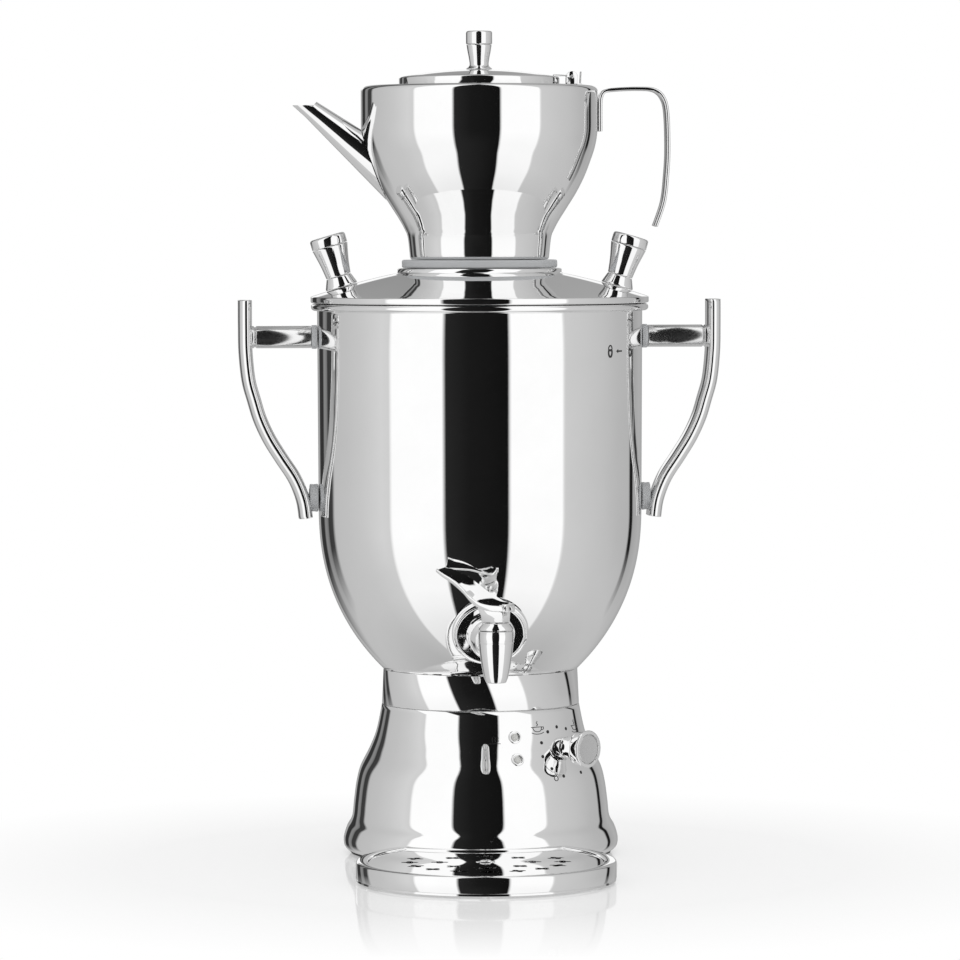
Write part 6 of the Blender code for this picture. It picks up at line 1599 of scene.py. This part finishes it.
dot = [Vector(point) for point in circle(DOT_RADIUS, DOT_STEPS)], [tuple(range(DOT_STEPS))]
for i, (degrees, height) in enumerate(SCALE_DOTS, 1):
    on_bell(f"scale_dot_{i}", [dot], degrees, height)
degrees, height, radius = RING_MARK
ring = circle(radius, RING_STEPS)
on_bell("scale_ring", [stroke(ring + ring[:1])], degrees, height)
cup = [stroke(sized(CUP_BRIM))] + [curved(line) for line in CUP_LINES]
for word, (degrees, height) in zip(("low", "high"), CUPS):
    on_bell(f"cup_mark_{word}", cup, degrees, height)
steam = [curved([(x + along, y) for x, y in STEAM_WAVE], THIN_LINE) for along in (-1.6, 0, 1.6)]
on_bell("steam_mark", steam + [stroke(sized(STEAM_PLATE), THIN_LINE)], *STEAM_MARK)
on_bell("front_mark", [filled(FRONT_POINT)], *FRONT_MARK)
for word, (degrees, bow_end) in LOCK_MARKS.items():
    lock = [curved(LOCK_CASE, CASE_LINE), curved(LOCK_BOW + [(LOCK_BOW_END, bow_end)], BOW_LINE)]
    on_tank(f"lock_mark_{word}", lock, degrees)
on_tank("turn_arrow", [filled(ARROW_HEAD), stroke(sized(ARROW_SHAFT), ARROW_LINE)], ARROW_MARK)
print("printed marks on bell and tank")

# %% [markdown]
# The drip tray is a pressed pan: round in front, a little longer behind, and notched to clear the bell. The
# same outline, drawn in step by step, gives the outer wall, the rolled rim, the ledge for the grill and
# the floor of the pan. The rows lie closer together round the rim and the lower edge.

# %% Drip tray
TRAY_CENTRE = 0.1280
TRAY_RADIUS = 0.0699
TRAY_BACK = 0.0830
TRAY_NOTCH = 0.0776
TRAY_TOP = 0.0115
TRAY_LOW = 0.0010
TRAY_RIM = 0.0064
TRAY_LEDGE = 0.0030
TRAY_STEP = 0.0022
TRAY_FLOOR = 0.0022
TRAY_CREASE = math.radians(38)
BACK_STEPS = 18
NOTCH_STEPS = 48
FRONT_STEPS = 96
STUD_REACH = 0.054
STUD_LINE = [(0, 0), (0.0034, 0), (0.0040, 0.0006), (0.0040, 0.0018), (0, 0.0019)]
STUD_STEPS = 48
STUD_EDGE = 0.0003


def tray_outline(inset):
    """The tray seen from above, drawn in by an inset."""
    radius, back, notch = TRAY_RADIUS - inset, TRAY_BACK - inset, TRAY_NOTCH + inset
    low, high = 0.0, math.pi / 2
    for _ in range(40):
        turn = (low + high) / 2
        reach = math.hypot(radius * math.cos(turn), TRAY_CENTRE - back * math.sin(turn))
        low, high = (turn, high) if reach > notch else (low, turn)
    turns = [turn * i / BACK_STEPS for i in range(BACK_STEPS + 1)]
    right = [(radius * math.cos(t), back * math.sin(t)) for t in turns]
    corner = math.degrees(math.atan2(right[-1][1] - TRAY_CENTRE, right[-1][0]))
    notched = bow((0, TRAY_CENTRE), notch, corner, -180 - corner, NOTCH_STEPS)
    front = bow((0, 0), radius, 180, 360, FRONT_STEPS)
    return right + notched[1:-1] + [(-x, y) for x, y in right[::-1]] + front[1:-1]


well = TRAY_RIM + TRAY_LEDGE
step = TRAY_TOP - TRAY_STEP
UNDER_ROWS = [
    (well, TRAY_FLOOR - SHEET), (well - SHEET, TRAY_FLOOR), (well - SHEET, step - SHEET),
    (TRAY_RIM - SHEET, step - SHEET), (TRAY_RIM - SHEET, TRAY_TOP - SHEET), (SHEET, TRAY_TOP - SHEET),
]
LOW_EDGE_ROWS = [
    (SHEET, TRAY_LOW + 0.0001), (0.0008, TRAY_LOW), (0.0004, TRAY_LOW), (0.0002, TRAY_LOW + 0.0001),
    (0.0002, 0.0017), (0.0004, 0.0019), (0.0004, 0.0021), (0.0001, 0.0023), (0, 0.0025),
]
RIM_ROWS = [
    (0, TRAY_TOP - 0.0012), (0.0001, TRAY_TOP - 0.0008), (0.0003, TRAY_TOP - 0.0005),
    (0.0006, TRAY_TOP - 0.0002), (0.0011, TRAY_TOP), (TRAY_RIM - 0.0006, TRAY_TOP),
    (TRAY_RIM - 0.0002, TRAY_TOP - 0.0002), (TRAY_RIM, TRAY_TOP - 0.0006),
]
INNER_ROWS = [(TRAY_RIM, step), (well, step), (well, TRAY_FLOOR + SHEET / 2), (well + SHEET / 2, TRAY_FLOOR)]
tray_rows = UNDER_ROWS + LOW_EDGE_ROWS + RIM_ROWS + INNER_ROWS
tray_place = AXIS + Vector((math.sin(BASE_TURN) * TRAY_CENTRE, -math.cos(BASE_TURN) * TRAY_CENTRE, 0))
tray_lean = (0, 0, BASE_TURN)
rings = [[(x, y, z) for x, y in tray_outline(inset)] for inset, z in tray_rows]
tray = skinned("tray_pan", rings, "drip_tray", ["drip_tray"], edge=0, lean=tray_lean, place=tray_place)
bpy.ops.object.shade_smooth_by_angle(angle=TRAY_CREASE)
dress(tray, mirror_steel)
for i in range(3):
    turn = math.tau * i / 3 - math.pi / 2
    out = Vector((STUD_REACH * math.cos(turn), STUD_REACH * math.sin(turn), 0))
    spot = tray_place + Matrix.Rotation(BASE_TURN, 3, "Z") @ out
    name = f"tray_stud_{i + 1}"
    piece = turned(name, STUD_LINE, "drip_tray", ["drip_tray"], spot, steps=STUD_STEPS, edge=STUD_EDGE)
    dress(piece, small_steel)
tray_low, tray_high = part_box("drip_tray")
print("tray from", [round(v, 4) for v in tray_low], "to", [round(v, 4) for v in tray_high])

# %% [markdown]
# The grill is a thin flat plate that lies on the ledge. Two rows of crosses and a shallow dimple are cut
# into it in one Boolean, with all the punches joined. A fingertip in the dimple finds the middle.

# %% Drip grill
CROSS_SPAN = 0.0088
CROSS_ARM = 0.0034
CROSS_ROUND = 0.0005
CROSS_TIP = 0.8
OUTER_ROW = 0.0410
OUTER_PITCH = math.radians(22.5)
OUTER_COUNT = 11
INNER_ROW = 0.0250
INNER_COUNT = 8
GRILL_THICK = 0.0008
GRILL_PLAY = 0.0004
GRILL_CREASE = math.radians(35)
DIMPLE_RADIUS = 0.0055
DIMPLE_DEEP = 0.0004
DIMPLE_STEPS = 48
DIMPLE_NARROW = 0.9

grill_low = step + SEAT_GAP
grill_high = grill_low + GRILL_THICK
inset = TRAY_RIM + GRILL_PLAY
grill_rows = [
    (inset + FINE_EDGE, grill_low), (inset, grill_low + FINE_EDGE),
    (inset, grill_high - FINE_EDGE), (inset + FINE_EDGE, grill_high),
]
rings = [[(x, y, z) for x, y in tray_outline(shy)] for shy, z in grill_rows]
grill = skinned("grill_plate", rings, "drip_grill", edge=0, place=(0, 0, 0))
arm_half, span_half = CROSS_ARM / 2, CROSS_SPAN / 2
quarter = bow((span_half - arm_half * CROSS_TIP, 0), arm_half, -90, 90, 6)
quarter += [(arm_half + CROSS_ROUND, arm_half), (arm_half, arm_half + CROSS_ROUND)]
cross = []
for i in range(4):
    c, s = math.cos(i * math.pi / 2), math.sin(i * math.pi / 2)
    cross += [(x * c - y * s, x * s + y * c) for x, y in quarter]
spots = [(OUTER_ROW, OUTER_PITCH * (1 - i)) for i in range(OUTER_COUNT)]
spots += [(INNER_ROW, math.tau * i / INNER_COUNT) for i in range(INNER_COUNT)]
punches = []
for radius, turn in spots:
    c, s = math.cos(turn), math.sin(turn)
    shape = [(radius * c + x * c - y * s, radius * s + x * s + y * c) for x, y in cross]
    rings = [[(x, y, z) for x, y in shape] for z in (grill_low - SHEET, grill_high + SHEET)]
    punches.append(skinned("punch", rings, "drip_grill", edge=0, place=(0, 0, 0)))
dimple = bow((0, 0), DIMPLE_RADIUS, 0, 360, DIMPLE_STEPS)[:-1]
dimple_rows = [(1.0, grill_high + SHEET), (1.0, grill_high), (DIMPLE_NARROW, grill_high - DIMPLE_DEEP)]
rings = [[(x * share, y * share, z) for x, y in dimple] for share, z in dimple_rows]
punches.append(skinned("punch", rings, "drip_grill", edge=0, place=(0, 0, 0)))
only(punches[0])
for punch in punches[1:]:
    punch.select_set(True)
bpy.ops.object.join()
cut_away(grill, bpy.context.object, "punched")
finish_mesh(grill, 0)
bpy.ops.object.shade_smooth_by_angle(angle=GRILL_CREASE)
settle(grill, tray_place, tray_lean)
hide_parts("drip_grill")
dress(grill, mirror_steel)
boss_line = [(0, grill_high - 0.0006), (0.0034, grill_high - 0.0005)]
boss_line += flow([(0.0033, grill_high - 0.0003), (0.0022, grill_high - 0.0001), (0, grill_high)], 5)
boss = turned("grill_boss", boss_line, "drip_grill", ["drip_grill"], tray_place, steps=STUD_STEPS, edge=0)
dress(boss, mirror_steel)
print("grill", len(grill.data.polygons), "faces")
